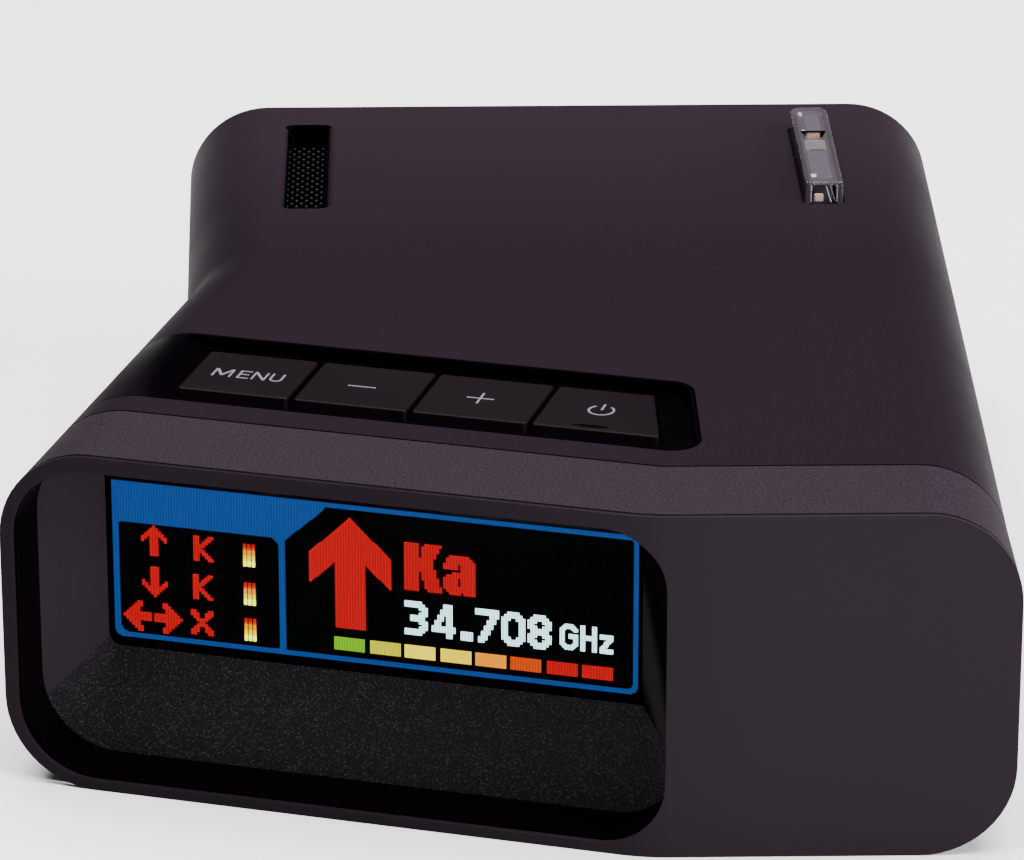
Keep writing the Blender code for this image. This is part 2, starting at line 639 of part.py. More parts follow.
key_board = extrusion("key_board", [to_body(*end) for end in KEY_BOARD_ENDS], SWITCH_TOP - 3.4, SWITCH_TOP - 2.2,
                      "board_green")
for name, (left, right) in KEY_EDGES.items():
    end = right if right is not None else POWER_KEY_END
    centre = to_body((left + end) / 2, (KEY_FRONT + KEY_BACK) / 2)
    key = extrusion(name, key_outline(left, right, KEY_FRONT, KEY_BACK), KEY_BASE, KEY_TOP, "key_black")
    flange_end = right - FLANGE_INSET if right is not None else None
    flange_plan = key_outline(left + FLANGE_INSET, flange_end, KEY_FRONT - FLANGE_REACH, KEY_BACK + FLANGE_REACH,
                              -FLANGE_INSET)
    flange = extrusion(f"{name}_flange", flange_plan, *FLANGE_HEIGHTS)
    stem = cylinder(f"{name}_stem", centre, KEY_STEM_RADIUS, SWITCH_TOP + KEY_TRAVEL + 0.1, KEY_BASE + 0.8, sides=12)
    set_origin(soften(key, 0.22), (*centre, KEY_TOP))
    join(key, flange, stem)
    switch = box(name.replace("_key", "_switch"), (centre.x - SWITCH_HALF, centre.x + SWITCH_HALF),
                 (centre.y - SWITCH_HALF, centre.y + SWITCH_HALF), (SWITCH_TOP - 2.0, SWITCH_TOP - 0.8), "black_part")
    join(switch, cylinder(f"{name}_actuator", centre, ACTUATOR_RADIUS, SWITCH_TOP - 1.2, SWITCH_TOP, sides=12))

# Speaker under its perforated strip in the top.

SPEAKER_SPOT = (GRILLE_X, 94.6)
box("speaker_grille", (GRILLE_X - 3.6, GRILLE_X + 3.6), (SLOT_START - 1.5, GRILLE_END + 1.5),
    (HEIGHT - WALL - 0.75, HEIGHT - WALL - GAP), "black_part")
turned("speaker_frame", [(7.2, 28.8), (7.2, 27.8), (5.8, 24.6), (5.8, 23.6), (3.6, 23.6), (3.6, 24.4), (6.4, 28.0),
                         (6.4, 28.8), (7.2, 28.8)], SPEAKER_SPOT, "cast_metal")
turned("speaker_cone", [(0.0, 26.4), (2.4, 25.9), (6.0, 28.6), (6.0, 28.2), (3.0, 24.7), (0.0, 24.7)],
       SPEAKER_SPOT, "cone_paper")
turned("speaker_magnet", [(0.0, 23.3), (5.2, 23.3), (5.2, 20.6), (0.0, 20.6)], SPEAKER_SPOT, "sheet_metal")

# Rear-facing laser receiver: clear light pipe on the top, and its sensor on a small board below.

prism_top = HEIGHT + PRISM_RISE
prism_profile = [(SLOT_START, 29.4), (PRISM_END, 29.4), (PRISM_END, prism_top - 0.6), (PRISM_END - 0.6, prism_top),
                 (SLOT_START + 0.7, prism_top), (SLOT_START, prism_top - 0.7)]
laser_light_pipe = side_extrusion("laser_light_pipe", prism_profile, PRISM_X - PRISM_WIDTH / 2,
                                  PRISM_X + PRISM_WIDTH / 2, "clear_acrylic")
soften(laser_light_pipe, 0.3)
notch_corners = [(PRISM_X + side * width / 2, y) for y, width, sides in zip(NOTCH, NOTCH_WIDTHS, ((-1, 1), (1, -1)))
                 for side in sides]
cut(laser_light_pipe, extrusion("light_pipe_notch", notch_corners, prism_top - NOTCH_DEPTH, prism_top + 1.0))
box("rear_sensor_board", (PRISM_X - 4.5, PRISM_X + 5.0), (84.0, 103.0), (24.2, 25.2), "board_green")
rear_laser_sensor = box("rear_laser_sensor", (PRISM_X - 2.4, PRISM_X + 2.4), (90.0, 96.0), (25.5, 27.6),
                        "infrared_black")
join(rear_laser_sensor, cylinder("rear_sensor_dome", (PRISM_X, 93.0), 1.8, 27.4, 28.9, sides=16))

# Road-facing laser receiver: window, lens and sensor on its board.

facing_extrusion("laser_window", laser_outline(0.0), DEPTH - WALL + 0.3, DEPTH - 0.2, "infrared_black", BODY)
laser_z = (LASER_LOW + LASER_HIGH) / 2
laser_lens = cylinder("laser_lens", (LASER_X, laser_z), 3.6, DEPTH - 6.0, DEPTH - 3.0, "clear_acrylic", axis="Y")
soften(laser_lens, 0.7)
box("front_laser_sensor", (LASER_X - 2.5, LASER_X + 2.5), (DEPTH - 9.4, DEPTH - 7.2), (laser_z - 2.5, laser_z + 2.5),
    "infrared_black")
box("front_sensor_board", (LASER_X - 7.0, LASER_X + 7.0), (DEPTH - 10.9, DEPTH - 9.7), (10.5, 20.0), "board_green")

# Horn antennas: a flared mouth, a narrow throat and a waveguide block with the receiver board on top.

def horn(name, x, mouth_y, throat_y, block_y, mouth, throat, z):
    """A cast horn that opens at one end of its run along y. Mouth and throat are width and height."""
    wall = 1.2
    near, far = (mouth_y, throat_y) if mouth_y < throat_y else (throat_y, mouth_y)
    sizes = (mouth, throat) if mouth_y < throat_y else (throat, mouth)
    def frame_outline(size, grow):
        w, h = size[0] / 2 + grow, size[1] / 2 + grow
        return [(x - w, z - h), (x + w, z - h), (x + w, z + h), (x - w, z + h)]
    body = loft(name, frame_outline(sizes[0], wall), frame_outline(sizes[1], wall), near, far, "cast_metal")
    hollow = loft(f"{name}_hollow", frame_outline(sizes[0], 0.0), frame_outline(sizes[1], 0.0), near, far)
    step = 1.0 if mouth_y > throat_y else -1.0
    mouth_cut = box(f"{name}_mouth", (x - mouth[0] / 2, x + mouth[0] / 2),
                    sorted((mouth_y - 0.05 * step, mouth_y + step)), (z - mouth[1] / 2, z + mouth[1] / 2))
    block = box(f"{name}_block", (x - 8.0, x + 8.0), sorted((throat_y + 1.5 * step, block_y)), (z - 5.0, z + 5.0))
    guide = box(f"{name}_guide", (x - throat[0] / 2, x + throat[0] / 2),
                sorted((throat_y + 0.05 * step, block_y + 2.0 * step)), (z - throat[1] / 2, z + throat[1] / 2))
    join(body, block)
    return cut(body, hollow, mouth_cut, guide)


FRONT_HORN_X = 12.0
REAR_HORN_X = 8.0
HORN_Z = 17.0
horn("front_horn_antenna", FRONT_HORN_X, 110.6, 90.0, 78.0, (27.0, 16.0), (10.0, 4.4), HORN_Z)
horn("rear_horn_antenna", REAR_HORN_X, 41.0, 54.0, 66.0, (20.0, 13.0), (10.0, 4.4), HORN_Z)

box("microwave_board", *MICROWAVE_BOARD, "board_green")
box("shield_can", *SHIELD_CAN, "sheet_metal", edge=0.4)
box("gps_board", *GPS_BOARD, "board_green")
box("gps_antenna", *GPS_ANTENNA, "ceramic", edge=0.5)

# Main board with its processor, supply capacitor and the three sockets.

BOARD_LOW = 6.0
BOARD_TOP = 7.6
main_board = extrusion("main_board", housing_outline(HOUSING_FRONT + 8.0, 3.6, DEPTH - 4.0), BOARD_LOW, BOARD_TOP,
                       "board_green")
cut(main_board, *board_notches)
box("processor", (-20.0, -8.0), (44.0, 56.0), (BOARD_TOP + GAP, BOARD_TOP + 1.6), "black_part")
cylinder("supply_capacitor", (30.0, 76.0), 3.1, BOARD_TOP + GAP, BOARD_TOP + 8.0, "black_part", sides=20)
box("supply_choke", (33.0, 39.0), (50.0, 56.0), (BOARD_TOP + GAP, BOARD_TOP + 4.0), "ceramic", edge=0.6)

power_socket = socket_box("power_socket", POWER_SOCKET, 0.0, SOCKET_FACE - 13.0, SOCKET_FACE, "black_part")
centre, _, low, high = POWER_SOCKET
cut(power_socket,
    box("power_mouth", (SOCKET_FACE - 10.5, SOCKET_FACE + 1), (centre - 4.9, centre + 4.9), (low + 2.6, high - 1.2)),
    box("power_latch_way", (SOCKET_FACE - 10.5, SOCKET_FACE + 1), (centre - 1.7, centre + 1.7), (low + 1.0, low + 3)))
box("power_contacts", (SOCKET_FACE - 9.4, SOCKET_FACE - 4.0), (centre - 2.4, centre + 2.4), (high - 2.2, high - 1.7),
    "sheet_metal")

centre, _, low, high = AUDIO_SOCKET
audio_socket = socket_box("audio_socket", AUDIO_SOCKET, 0.0, SOCKET_FACE - 11.0, SOCKET_FACE, "black_part")
cut(audio_socket, cylinder("audio_bore", (centre, (low + high) / 2), 1.8, SOCKET_FACE - 9.5, SOCKET_FACE + 1,
                           axis="X", sides=20))
centre, _, low, high = DATA_SOCKET
data_socket = socket_box("data_socket", DATA_SOCKET, 0.0, SOCKET_FACE - 9.0, SOCKET_FACE, "sheet_metal")
data_mouth = box("data_mouth", (SOCKET_FACE - 8.0, SOCKET_FACE + 1), (centre - 3.4, centre + 3.4),
                 (low + 0.5, high - 0.5))
data_tongue = box("data_tongue", (SOCKET_FACE - 8.5, SOCKET_FACE - 1.2), (centre - 2.6, centre + 2.6),
                  (low + 1.7, low + 2.5))
join(cut(data_socket, data_mouth), data_tongue)

# Display ribbon, from the panel's lower edge back and down to the main board.

ribbon_run = [(14.0, 9.0), (16.0, 9.0), (17.3, 9.4), (18.0, 10.6), (18.0, 15.0), (17.3, 16.4), (16.0, 16.8),
              (14.0, 16.8)]
ribbon_inner = [(14.0, 16.5), (15.9, 16.5), (17.0, 16.1), (17.7, 15.0), (17.7, 10.7), (17.1, 9.7), (15.9, 9.3),
                (14.0, 9.3)]
side_extrusion("display_ribbon", ribbon_run + ribbon_inner, -34.0, -22.0, "ribbon", DISPLAY)

# Two wires from the speaker down to the main board.

tube("speaker_wires", [(-12.0, 90.0, 22.2), (-6.5, 88.0, 21.5), (-3.0, 84.0, 18.0), (-3.5, 79.0, 12.5),
                       (-6.0, 76.0, 8.9)], 0.6, "wire_insulation")
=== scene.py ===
"""The radar detector's looks: finely rounded shells, keys, display picture, sockets and procedural materials.

Shapes are drawn in millimetres in one of two frames. The body frame has x to the right, y away from the
driver with 0 at the flat right part of the face, and z up from the base. The display frame is the body frame
turned about z at the face's fold, so that its x runs along the angled display part of the face and its y runs
straight back from it.
"""

import math

import bmesh
import bpy
from mathutils import Matrix, Vector


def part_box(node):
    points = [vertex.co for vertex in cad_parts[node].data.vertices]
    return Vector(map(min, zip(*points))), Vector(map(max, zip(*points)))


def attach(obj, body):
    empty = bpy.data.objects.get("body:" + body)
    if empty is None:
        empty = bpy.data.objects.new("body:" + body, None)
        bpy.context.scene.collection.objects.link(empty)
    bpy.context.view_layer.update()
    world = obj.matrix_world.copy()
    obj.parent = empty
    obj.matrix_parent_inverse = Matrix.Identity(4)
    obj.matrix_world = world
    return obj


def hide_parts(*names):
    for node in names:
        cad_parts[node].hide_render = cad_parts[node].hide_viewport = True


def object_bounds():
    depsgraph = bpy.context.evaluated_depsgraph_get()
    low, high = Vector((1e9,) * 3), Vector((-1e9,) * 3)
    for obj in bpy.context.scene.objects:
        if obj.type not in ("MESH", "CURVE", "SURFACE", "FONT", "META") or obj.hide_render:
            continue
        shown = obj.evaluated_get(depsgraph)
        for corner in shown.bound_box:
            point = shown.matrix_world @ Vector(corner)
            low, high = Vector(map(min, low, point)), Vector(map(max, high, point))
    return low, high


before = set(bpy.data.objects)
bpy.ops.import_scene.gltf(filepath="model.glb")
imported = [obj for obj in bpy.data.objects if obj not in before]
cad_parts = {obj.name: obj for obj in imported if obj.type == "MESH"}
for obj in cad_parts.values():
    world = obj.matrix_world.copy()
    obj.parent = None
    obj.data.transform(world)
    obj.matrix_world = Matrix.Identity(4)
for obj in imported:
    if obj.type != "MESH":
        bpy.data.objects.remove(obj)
CAD_LOW, CAD_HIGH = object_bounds()

MM = 0.001
LEFT = -45.0                 # body frame x of the face's left end
FOLD_X = 12.26
DISPLAY_ANGLE = math.radians(16.8)
BODY = Matrix.Translation((CAD_LOW.x - LEFT * MM, CAD_LOW.y, 0.0)) @ Matrix.Scale(MM, 4)
DISPLAY = BODY @ Matrix.Translation((FOLD_X, 0.0, 0.0)) @ Matrix.Rotation(-DISPLAY_ANGLE, 4, "Z")


def cad_box(node):
    """A CAD node's lowest and highest corners, in millimetres of the body frame."""
    to_body_frame = BODY.inverted()
    low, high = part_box(node)
    return to_body_frame @ Vector(low), to_body_frame @ Vector(high)


def plan_centre(node):
    """The middle of a CAD node's box, seen from above."""
    low, high = cad_box(node)
    return (low.x + high.x) / 2, (low.y + high.y) / 2


# Driving sizes, read from the frame where a node states them.

GAP = 0.3
OVERCUT = 1.0                # how far a cutter reaches past what it cuts
RIGHT = cad_box("face_plate")[1].x
END_RIGHT = LEFT + (CAD_HIGH.x - CAD_LOW.x) / MM
DEPTH = (CAD_HIGH.y - CAD_LOW.y) / MM
HEIGHT = cad_box("face_plate")[1].z
BASE_TOP = cad_box("bottom_cover")[1].z
PARTING = BASE_TOP + GAP
REAR_LEFT = -30.1
END_SPREAD = 1.2             # how far the left side spreads towards the far end
END_LEFT = REAR_LEFT - END_SPREAD
WAIST_Y = 69.0
FOLD_RADIUS = 15.0
WAIST_RADIUS = 10.0
TOP_RADIUS = 8.4
BASE_RADIUS = 8.5
WALL = 2.0
SEAM_EDGE = 0.18             # rounding of the edges along the seams
END_EDGE = 0.45              # and of those round the far end

PLATE_SKIN = 0.45
BAND_FRONT = 0.8
BAND_BACK = 11.7
HOUSING_FRONT = 12.0

RECESS = (-58.6, 1.7, 1.0, 31.0)
RECESS_RADII = (7.2, 6.0, 5.7, 6.8)
SCREEN = (-53.4, -2.9, 9.95, 26.4)
SCREEN_CORNER = 1.2
HOOD_FRONT = 6.4
HOOD_BACK = 10.2
HOOD_RIM = 0.55
HOOD_RIM_LOW = 0.3
HOOD_MOUTH = -2.0            # the hood starts ahead of the face and is then trimmed

TRAY_FRONT = 15.7
TRAY_BACK = 32.3
TRAY_RIGHT = 17.75
TRAY_CORNER = 2.6
TRAY_SKIRT = 14.0
TRAY_SINK = 1.1
TRAY_SEAM = 0.12
TRAY_OVERLAP = 2.0           # how far its plan reaches past the left side
KEY_FRONT = 19.1
KEY_BACK = 28.9
KEY_RIGHT = 14.15
KEY_TOP = cad_box("menu_key")[1].z
KEY_EDGES = {"menu_key": (-49.35, -38.85), "volume_down_key": (-38.25, -27.5),
             "volume_up_key": (-27.0, -16.2), "power_key": (-15.7, None)}
POWER_KEY_END = 0.5
KEY_BASE = 28.5
KEY_EDGE = 0.18
KEY_CORNER = 0.35
KEY_CLEARANCE = 0.35
KEY_HOLE_CORNER = 0.9
KEY_STEM_RADIUS = 1.6
FLANGE_REACH = 1.2           # past the cap, to the front and the back
FLANGE_INSET = 0.4           # at the cap's sides

ARC_STEPS = 14
EDGE_STEPS = 14
LIP_STEPS = 4
TURNED_SIDES = 40
WELD = 1e-4
ON_PLANE = 0.01              # how near to a plane the ends of an edge on it lie
ON_FACE = 0.06               # how near to a depth behind the folded face they lie
SHARP_ANGLE = 0.35           # radians between faces, above which an edge is rounded
FOLD_BLEND = 4.0             # the curved fold starts less than this left of the fold's corner
X_RUN = Vector((1.0, 0.0))
Y_RUN = Vector((0.0, 1.0))


# Plan geometry.

def to_body(along, back):
    """A point of the display frame's plan, in the body frame."""
    c, s = math.cos(DISPLAY_ANGLE), math.sin(DISPLAY_ANGLE)
    return Vector((FOLD_X + c * along + s * back, -s * along + c * back))


def meet(point, direction, other_point, other_direction):
    """Where two lines of the plan cross."""
    across = direction.x * other_direction.y - direction.y * other_direction.x
    offset = other_point - point
    return point + direction * ((offset.x * other_direction.y - offset.y * other_direction.x) / across)


def rounded(corners, steps=ARC_STEPS):
    """A closed outline from (point, radius) corners, with an arc at each corner that has a radius."""
    outline = []
    for i, (corner, radius) in enumerate(corners):
        corner = Vector(corner)
        if radius <= 0:
            outline.append(corner)
            continue
        before = (Vector(corners[i - 1][0]) - corner).normalized()
        after = (Vector(corners[(i + 1) % len(corners)][0]) - corner).normalized()
        half = before.angle(after) / 2
        centre = corner + (before + after).normalized() * (radius / math.sin(half))
        start = corner + before * (radius / math.tan(half)) - centre
        sweep = start.angle_signed(corner + after * (radius / math.tan(half)) - centre)
        outline += [centre + Matrix.Rotation(-sweep * k / steps, 2) @ start for k in range(steps + 1)]
    return outline


def rounded_box(low_x, high_x, low_y, high_y, low_radius, high_radius=None, steps=ARC_STEPS):
    """A rectangle whose low corners have one radius and whose high corners may have another."""
    high_radius = low_radius if high_radius is None else high_radius
    return rounded([((low_x, low_y), low_radius), ((high_x, low_y), low_radius),
                    ((high_x, high_y), high_radius), ((low_x, high_y), high_radius)], steps)


FLARE_FOOT = Vector((LEFT, (FOLD_X - LEFT) * math.tan(DISPLAY_ANGLE)))
FLARE_RUN = (Vector((REAR_LEFT, WAIST_Y)) - FLARE_FOOT).normalized()
FLARE_IN = Vector((FLARE_RUN.y, -FLARE_RUN.x))
FACE_RUN = to_body(1, 0) - to_body(0, 0)


def flare_line(inset):
    return FLARE_FOOT + FLARE_IN * inset, FLARE_RUN


def face_corners(back, inset):
    """The left end, the fold and the right end of the face's outline, moved back and in from the sides."""
    left = meet(*flare_line(inset), to_body(0, back), FACE_RUN)
    fold = meet(to_body(0, back), FACE_RUN, Vector((0.0, back)), X_RUN)
    return left, fold, Vector((RIGHT - inset, back))


def housing_outline(front, inset, end):
    left, fold, right = face_corners(front, inset)
    waist = meet(*flare_line(inset), Vector((REAR_LEFT + inset, 0.0)), Y_RUN)
    return rounded([(right, 0), ((END_RIGHT - inset, end), 0), ((END_LEFT + inset, end), 0),
                    (waist, WAIST_RADIUS + inset), (left, 0), (fold, max(FOLD_RADIUS - front, 0))])


def band_outline(front, back, inset):
    left, fold, right = face_corners(front, inset)
    back_left, back_fold, back_right = face_corners(back, inset)
    return rounded([(right, 0), (back_right, 0), (back_fold, FOLD_RADIUS - back), (back_left, 0), (left, 0),
                    (fold, FOLD_RADIUS - front)])


def tray_outline(clearance, left=None):
    """Plan of the key tray. Its right end runs straight back and its left end may be given along the face."""
    front, back, right = TRAY_FRONT + clearance, TRAY_BACK - clearance, TRAY_RIGHT - clearance
    ends = [meet(to_body(0, b), FACE_RUN, Vector((right, 0.0)), Y_RUN) for b in (front, back)]
    if left is None:
        starts = [meet(to_body(0, b), FACE_RUN, *flare_line(-TRAY_OVERLAP)) for b in (front, back)]
    else:
        starts = [to_body(left, b) for b in (front, back)]
    corner = TRAY_CORNER - clearance
    return rounded([(starts[0], 0), (ends[0], corner), (ends[1], corner), (starts[1], 0)])


def key_corners(left, right, front, back, grow=0.0):
    if right is not None:
        return [to_body(left, front), to_body(right, front), to_body(right, back), to_body(left, back)]
    ends = [meet(to_body(0, b), FACE_RUN, Vector((KEY_RIGHT + grow, 0.0)), Y_RUN) for b in (front, back)]
    return [to_body(left, front), ends[0], ends[1], to_body(left, back)]


def recess_outline(margin=0.0, low_margin=None):
    """The display recess from the front, grown by a margin, which may differ at its lower edge."""
    left, right, low, high = RECESS
    low -= margin if low_margin is None else low_margin
    left, right, high = left - margin, right + margin, high + margin
    corners = [(left, low), (right, low), (right, high), (left, high)]
    return rounded([(corner, radius + margin) for corner, radius in zip(corners, RECESS_RADII)])


# Meshes.

def lift(axis, u, v, w):
    """The 3-D point for a point of an outline and a height along an axis."""
    return {"z": (u, v, w), "y": (u, w, v), "x": (w, u, v)}[axis]


def stack_bm(rings, axis="z"):
    """A closed solid through outlines of equal count, each at its own height along an axis."""
    bm = bmesh.new()
    made = [[bm.verts.new(lift(axis, u, v, w)) for u, v in outline] for outline, w in rings]
    count = len(made[0])
    for low, high in zip(made, made[1:]):
        for i in range(count):
            j = (i + 1) % count
            bm.faces.new((low[i], low[j], high[j], high[i]))
    bm.faces.new(made[0])
    bm.faces.new(made[-1])
    bmesh.ops.remove_doubles(bm, verts=bm.verts, dist=WELD)
    bmesh.ops.recalc_face_normals(bm, faces=bm.faces)
    return bm


def slab_bm(outline, low, high, axis="z"):
    return stack_bm([(outline, low), (outline, high)], axis)


def to_object(bm, name, matrix):
    """Turns a mesh drawn in millimetres into an object in metres."""
    bm.transform(matrix)
    mesh = bpy.data.meshes.new(name)
    bm.to_mesh(mesh)
    bm.free()
    obj = bpy.data.objects.new(name, mesh)
    bpy.context.scene.collection.objects.link(obj)
    return obj


def stack(name, rings, axis="z", matrix=BODY):
    return to_object(stack_bm(rings, axis), name, matrix)


def prism(name, outline, low, high, axis="z", matrix=BODY):
    return to_object(slab_bm(outline, low, high, axis), name, matrix)


def box(name, x, y, z, matrix=BODY):
    return prism(name, [(x[0], y[0]), (x[1], y[0]), (x[1], y[1]), (x[0], y[1])], z[0], z[1], "z", matrix)


def polar(centre, radius, angle):
    return centre[0] + radius * math.cos(angle), centre[1] + radius * math.sin(angle)


def circle(centre, radius, sides=48):
    return [polar(centre, radius, math.tau * k / sides) for k in range(sides)]


def flared(name, outline_of, low, high, flare, axis="z", matrix=BODY):
    """A cutter whose mouth widens in a rounded lip. outline_of gives the outline for a margin."""
    sign = 1 if high > low else -1
    rings = [(outline_of(0.0), low)]
    for k in range(LIP_STEPS + 1):
        t = math.pi / 2 * k / LIP_STEPS
        rings.append((outline_of(flare * (1 - math.cos(t))), high - sign * flare * (1 - math.sin(t))))
    rings.append((outline_of(flare), high + sign * OVERCUT))
    return stack(name, rings, axis, matrix)


def round_edges(bm, chosen, radius, segments):
    """Rounds the sharp edges that pass a test."""
    edges = [e for e in bm.edges
             if len(e.link_faces) == 2 and e.calc_face_angle(0.0) > SHARP_ANGLE and chosen(e)]
    bmesh.ops.bevel(bm, geom=edges, offset=radius, segments=segments, profile=0.5, affect="EDGES",
                    clamp_overlap=True)


def level(edge, height):
    return all(abs(v.co.z - height) < ON_PLANE for v in edge.verts)


def along_side(edge):
    run = edge.verts[1].co - edge.verts[0].co
    return abs(run.y) > abs(run.x)


def face_depth(point):
    """How far a point lies behind the face."""
    turned = (point.x - FOLD_X) * math.sin(DISPLAY_ANGLE) + point.y * math.cos(DISPLAY_ANGLE)
    return max(turned, point.y) if point.x > FOLD_X - FOLD_BLEND else turned


def at_depth(edge, depth):
    return all(abs(face_depth(v.co) - depth) < ON_FACE for v in edge.verts)


def round_sides(bm, low, high, top, base):
    """Rounds the long edges at the top and at the base, each where it has a radius."""
    for height, radius in ((high, top), (low, base)):
        if radius:
            round_edges(bm, lambda e: level(e, height) and along_side(e), radius, EDGE_STEPS)


def housing_bm(front, inset, end, low, high, top=None, base=None, end_edge=0.0, seam=0.0):
    """The housing's plan between two heights, with round side edges and softened seams."""
    bm = slab_bm(housing_outline(front, inset, end), low, high)
    round_sides(bm, low, high, top, base)
    if end_edge:
        round_edges(bm, lambda e: all(abs(v.co.y - end) < ON_PLANE for v in e.verts)
                    and not (level(e, low) and not base) and not (level(e, high) and not top), end_edge, 4)
    if seam:
        flat_height = low if top else high
        round_edges(bm, lambda e: level(e, flat_height) or at_depth(e, front), seam, 2)
    return bm


def cut(obj, *cutters, operation="DIFFERENCE"):
    """Applies cutters and removes them."""
    for cutter in cutters:
        modifier = obj.modifiers.new("cut", "BOOLEAN")
        modifier.object = cutter
        modifier.operation = operation
        modifier.solver = "EXACT"
    bpy.context.view_layer.update()
    mesh = bpy.data.meshes.new_from_object(obj.evaluated_get(bpy.context.evaluated_depsgraph_get()))
    obj.modifiers.clear()
    old = obj.data
    obj.data = mesh
    mesh.name = obj.name
    bpy.data.meshes.remove(old)
    for cutter in cutters:
        bpy.data.objects.remove(cutter)
    return obj


def turned(name, profile, spot, axis="z"):
    """A solid of revolution from (radius, height) points, about an axis through a spot."""
    return stack(name, [(circle(spot, radius, TURNED_SIDES), height) for radius, height in profile], axis)


def stroke(points, width):
    """The outline of a pen line through points, with mitred joints."""
    points = [Vector(p) for p in points]
    sides = ([], [])
    for k, point in enumerate(points):
        runs = []
        if k:
            runs.append((point - points[k - 1]).normalized())
        if k < len(points) - 1:
            runs.append((points[k + 1] - point).normalized())
        run = sum(runs, Vector((0.0, 0.0))).normalized()
        reach = width / 2 / max(run.dot(runs[0]), 0.3)
        normal = Vector((-run.y, run.x)) * reach
        sides[0].append(point + normal)
        sides[1].append(point - normal)
    return sides[0] + sides[1][::-1]


def arc(centre, radius, start, end, steps):
    """Points along an arc, with its angles in degrees."""
    return [polar(centre, radius, math.radians(start + (end - start) * k / steps)) for k in range(steps + 1)]


def shade(obj, angle=32):
    """Shades smooth, keeping sharp edges, with the large flat faces kept flat."""
    obj.data.shade_smooth()
    obj.data.set_sharp_from_angle(angle=math.radians(angle))
    weighted = obj.modifiers.new("weighted normals", "WEIGHTED_NORMAL")
    weighted.keep_sharp = True
    weighted.mode = "FACE_AREA"
    return obj


def join(name, parts):
    """Puts the meshes of all parts into the first one, which gets the name."""
    bm = bmesh.new()
    for part in parts:
        bm.from_mesh(part.data)
    bm.to_mesh(parts[0].data)
    bm.free()
    for part in parts[1:]:
        bpy.data.objects.remove(part)
    parts[0].name = name
    return parts[0]


# Materials.

class Paint:
    """A Principled material with helpers for patterns that drive its sockets."""

    def __init__(self, name, colour, roughness, metallic=0.0, **values):
        self.material = bpy.data.materials.new(name)
        self.material.use_nodes = True
        self.nodes = self.material.node_tree.nodes
        self.links = self.material.node_tree.links
        self.shader = self.nodes["Principled BSDF"]
        self.shader.inputs["Base Color"].default_value = (*colour, 1.0)
        self.shader.inputs["Roughness"].default_value = roughness
        self.shader.inputs["Metallic"].default_value = metallic
        for socket, value in values.items():
            self.shader.inputs[socket.replace("_", " ")].default_value = value
        self.place = self.nodes.new("ShaderNodeTexCoord").outputs["Object"]

    def node(self, kind, **inputs):
        made = self.nodes.new(kind)
        for socket, value in inputs.items():
            socket = socket.replace("_", " ")
            if isinstance(value, bpy.types.NodeSocket):
                self.links.new(value, made.inputs[socket])
            else:
                made.inputs[socket].default_value = value
        return made

    def noise(self, size, detail=2.0, roughness=0.5):
        """Noise whose grains are about size metres across."""
        return self.node("ShaderNodeTexNoise", Vector=self.place, Scale=1.0 / size, Detail=detail,
                         Roughness=roughness).outputs["Fac"]

    def spread(self, factor, low, high, out_low, out_high):
        made = self.node("ShaderNodeMapRange", Value=factor)
        ends = {"From Min": low, "From Max": high, "To Min": out_low, "To Max": out_high}
        for socket, value in ends.items():
            made.inputs[socket].default_value = value
        return made.outputs["Result"]

    def mix(self, factor, low, high):
        """A colour between two, by a factor."""
        made = self.nodes.new("ShaderNodeMix")
        made.data_type = "RGBA"
        self.links.new(factor, made.inputs["Factor"])
        for index, colour in ((6, low), (7, high)):
            if isinstance(colour, bpy.types.NodeSocket):
                self.links.new(colour, made.inputs[index])
            else:
                made.inputs[index].default_value = (*colour, 1.0)
        return made.outputs[2]

    def colour(self, socket):
        self.links.new(socket, self.shader.inputs["Base Color"])
        return self

    def rough(self, socket):
        self.links.new(socket, self.shader.inputs["Roughness"])
        return self

    def bump(self, height, strength, distance):
        made = self.node("ShaderNodeBump", Height=height, Strength=strength, Distance=distance)
        self.links.new(made.outputs["Normal"], self.shader.inputs["Normal"])
        return self


def mottled(name, colour, roughness, grain, depth, speckle=0.15, wear=0.06, **values):
    """Moulded or soft-coated plastic: fine grain, faint mottling and a roughness that drifts a little."""
    paint = Paint(name, colour, roughness, **values)
    fine = paint.noise(grain, 3.0, 0.6)
    broad = paint.noise(0.018, 3.0, 0.55)
    darker = tuple(c * (1 - speckle) for c in colour)
    lighter = tuple(c * (1 + speckle) for c in colour)
    paint.colour(paint.mix(paint.spread(fine, 0.3, 0.7, 0.0, 1.0), darker, lighter))
    paint.rough(paint.spread(broad, 0.3, 0.7, roughness - wear, roughness + wear))
    paint.bump(fine, 0.5, depth)
    return paint


def moulded(*looks, **values):
    return mottled(*looks, **values).material


def painted_light_coat(name, axis, low, high, colour, lit_colour, grain, depth, **values):
    """A soft coat whose colour is painted lighter between two places along an axis: painted light."""
    paint = mottled(name, colour, 0.60, grain, depth, Specular_IOR_Level=0.02, **values)
    along = paint.node("ShaderNodeSeparateXYZ", Vector=paint.place).outputs[axis]
    fine = paint.shader.inputs["Base Color"].links[0].from_socket
    paint.colour(paint.mix(paint.spread(along, low, high, 0.0, 1.0), fine, lit_colour))
    return paint.material
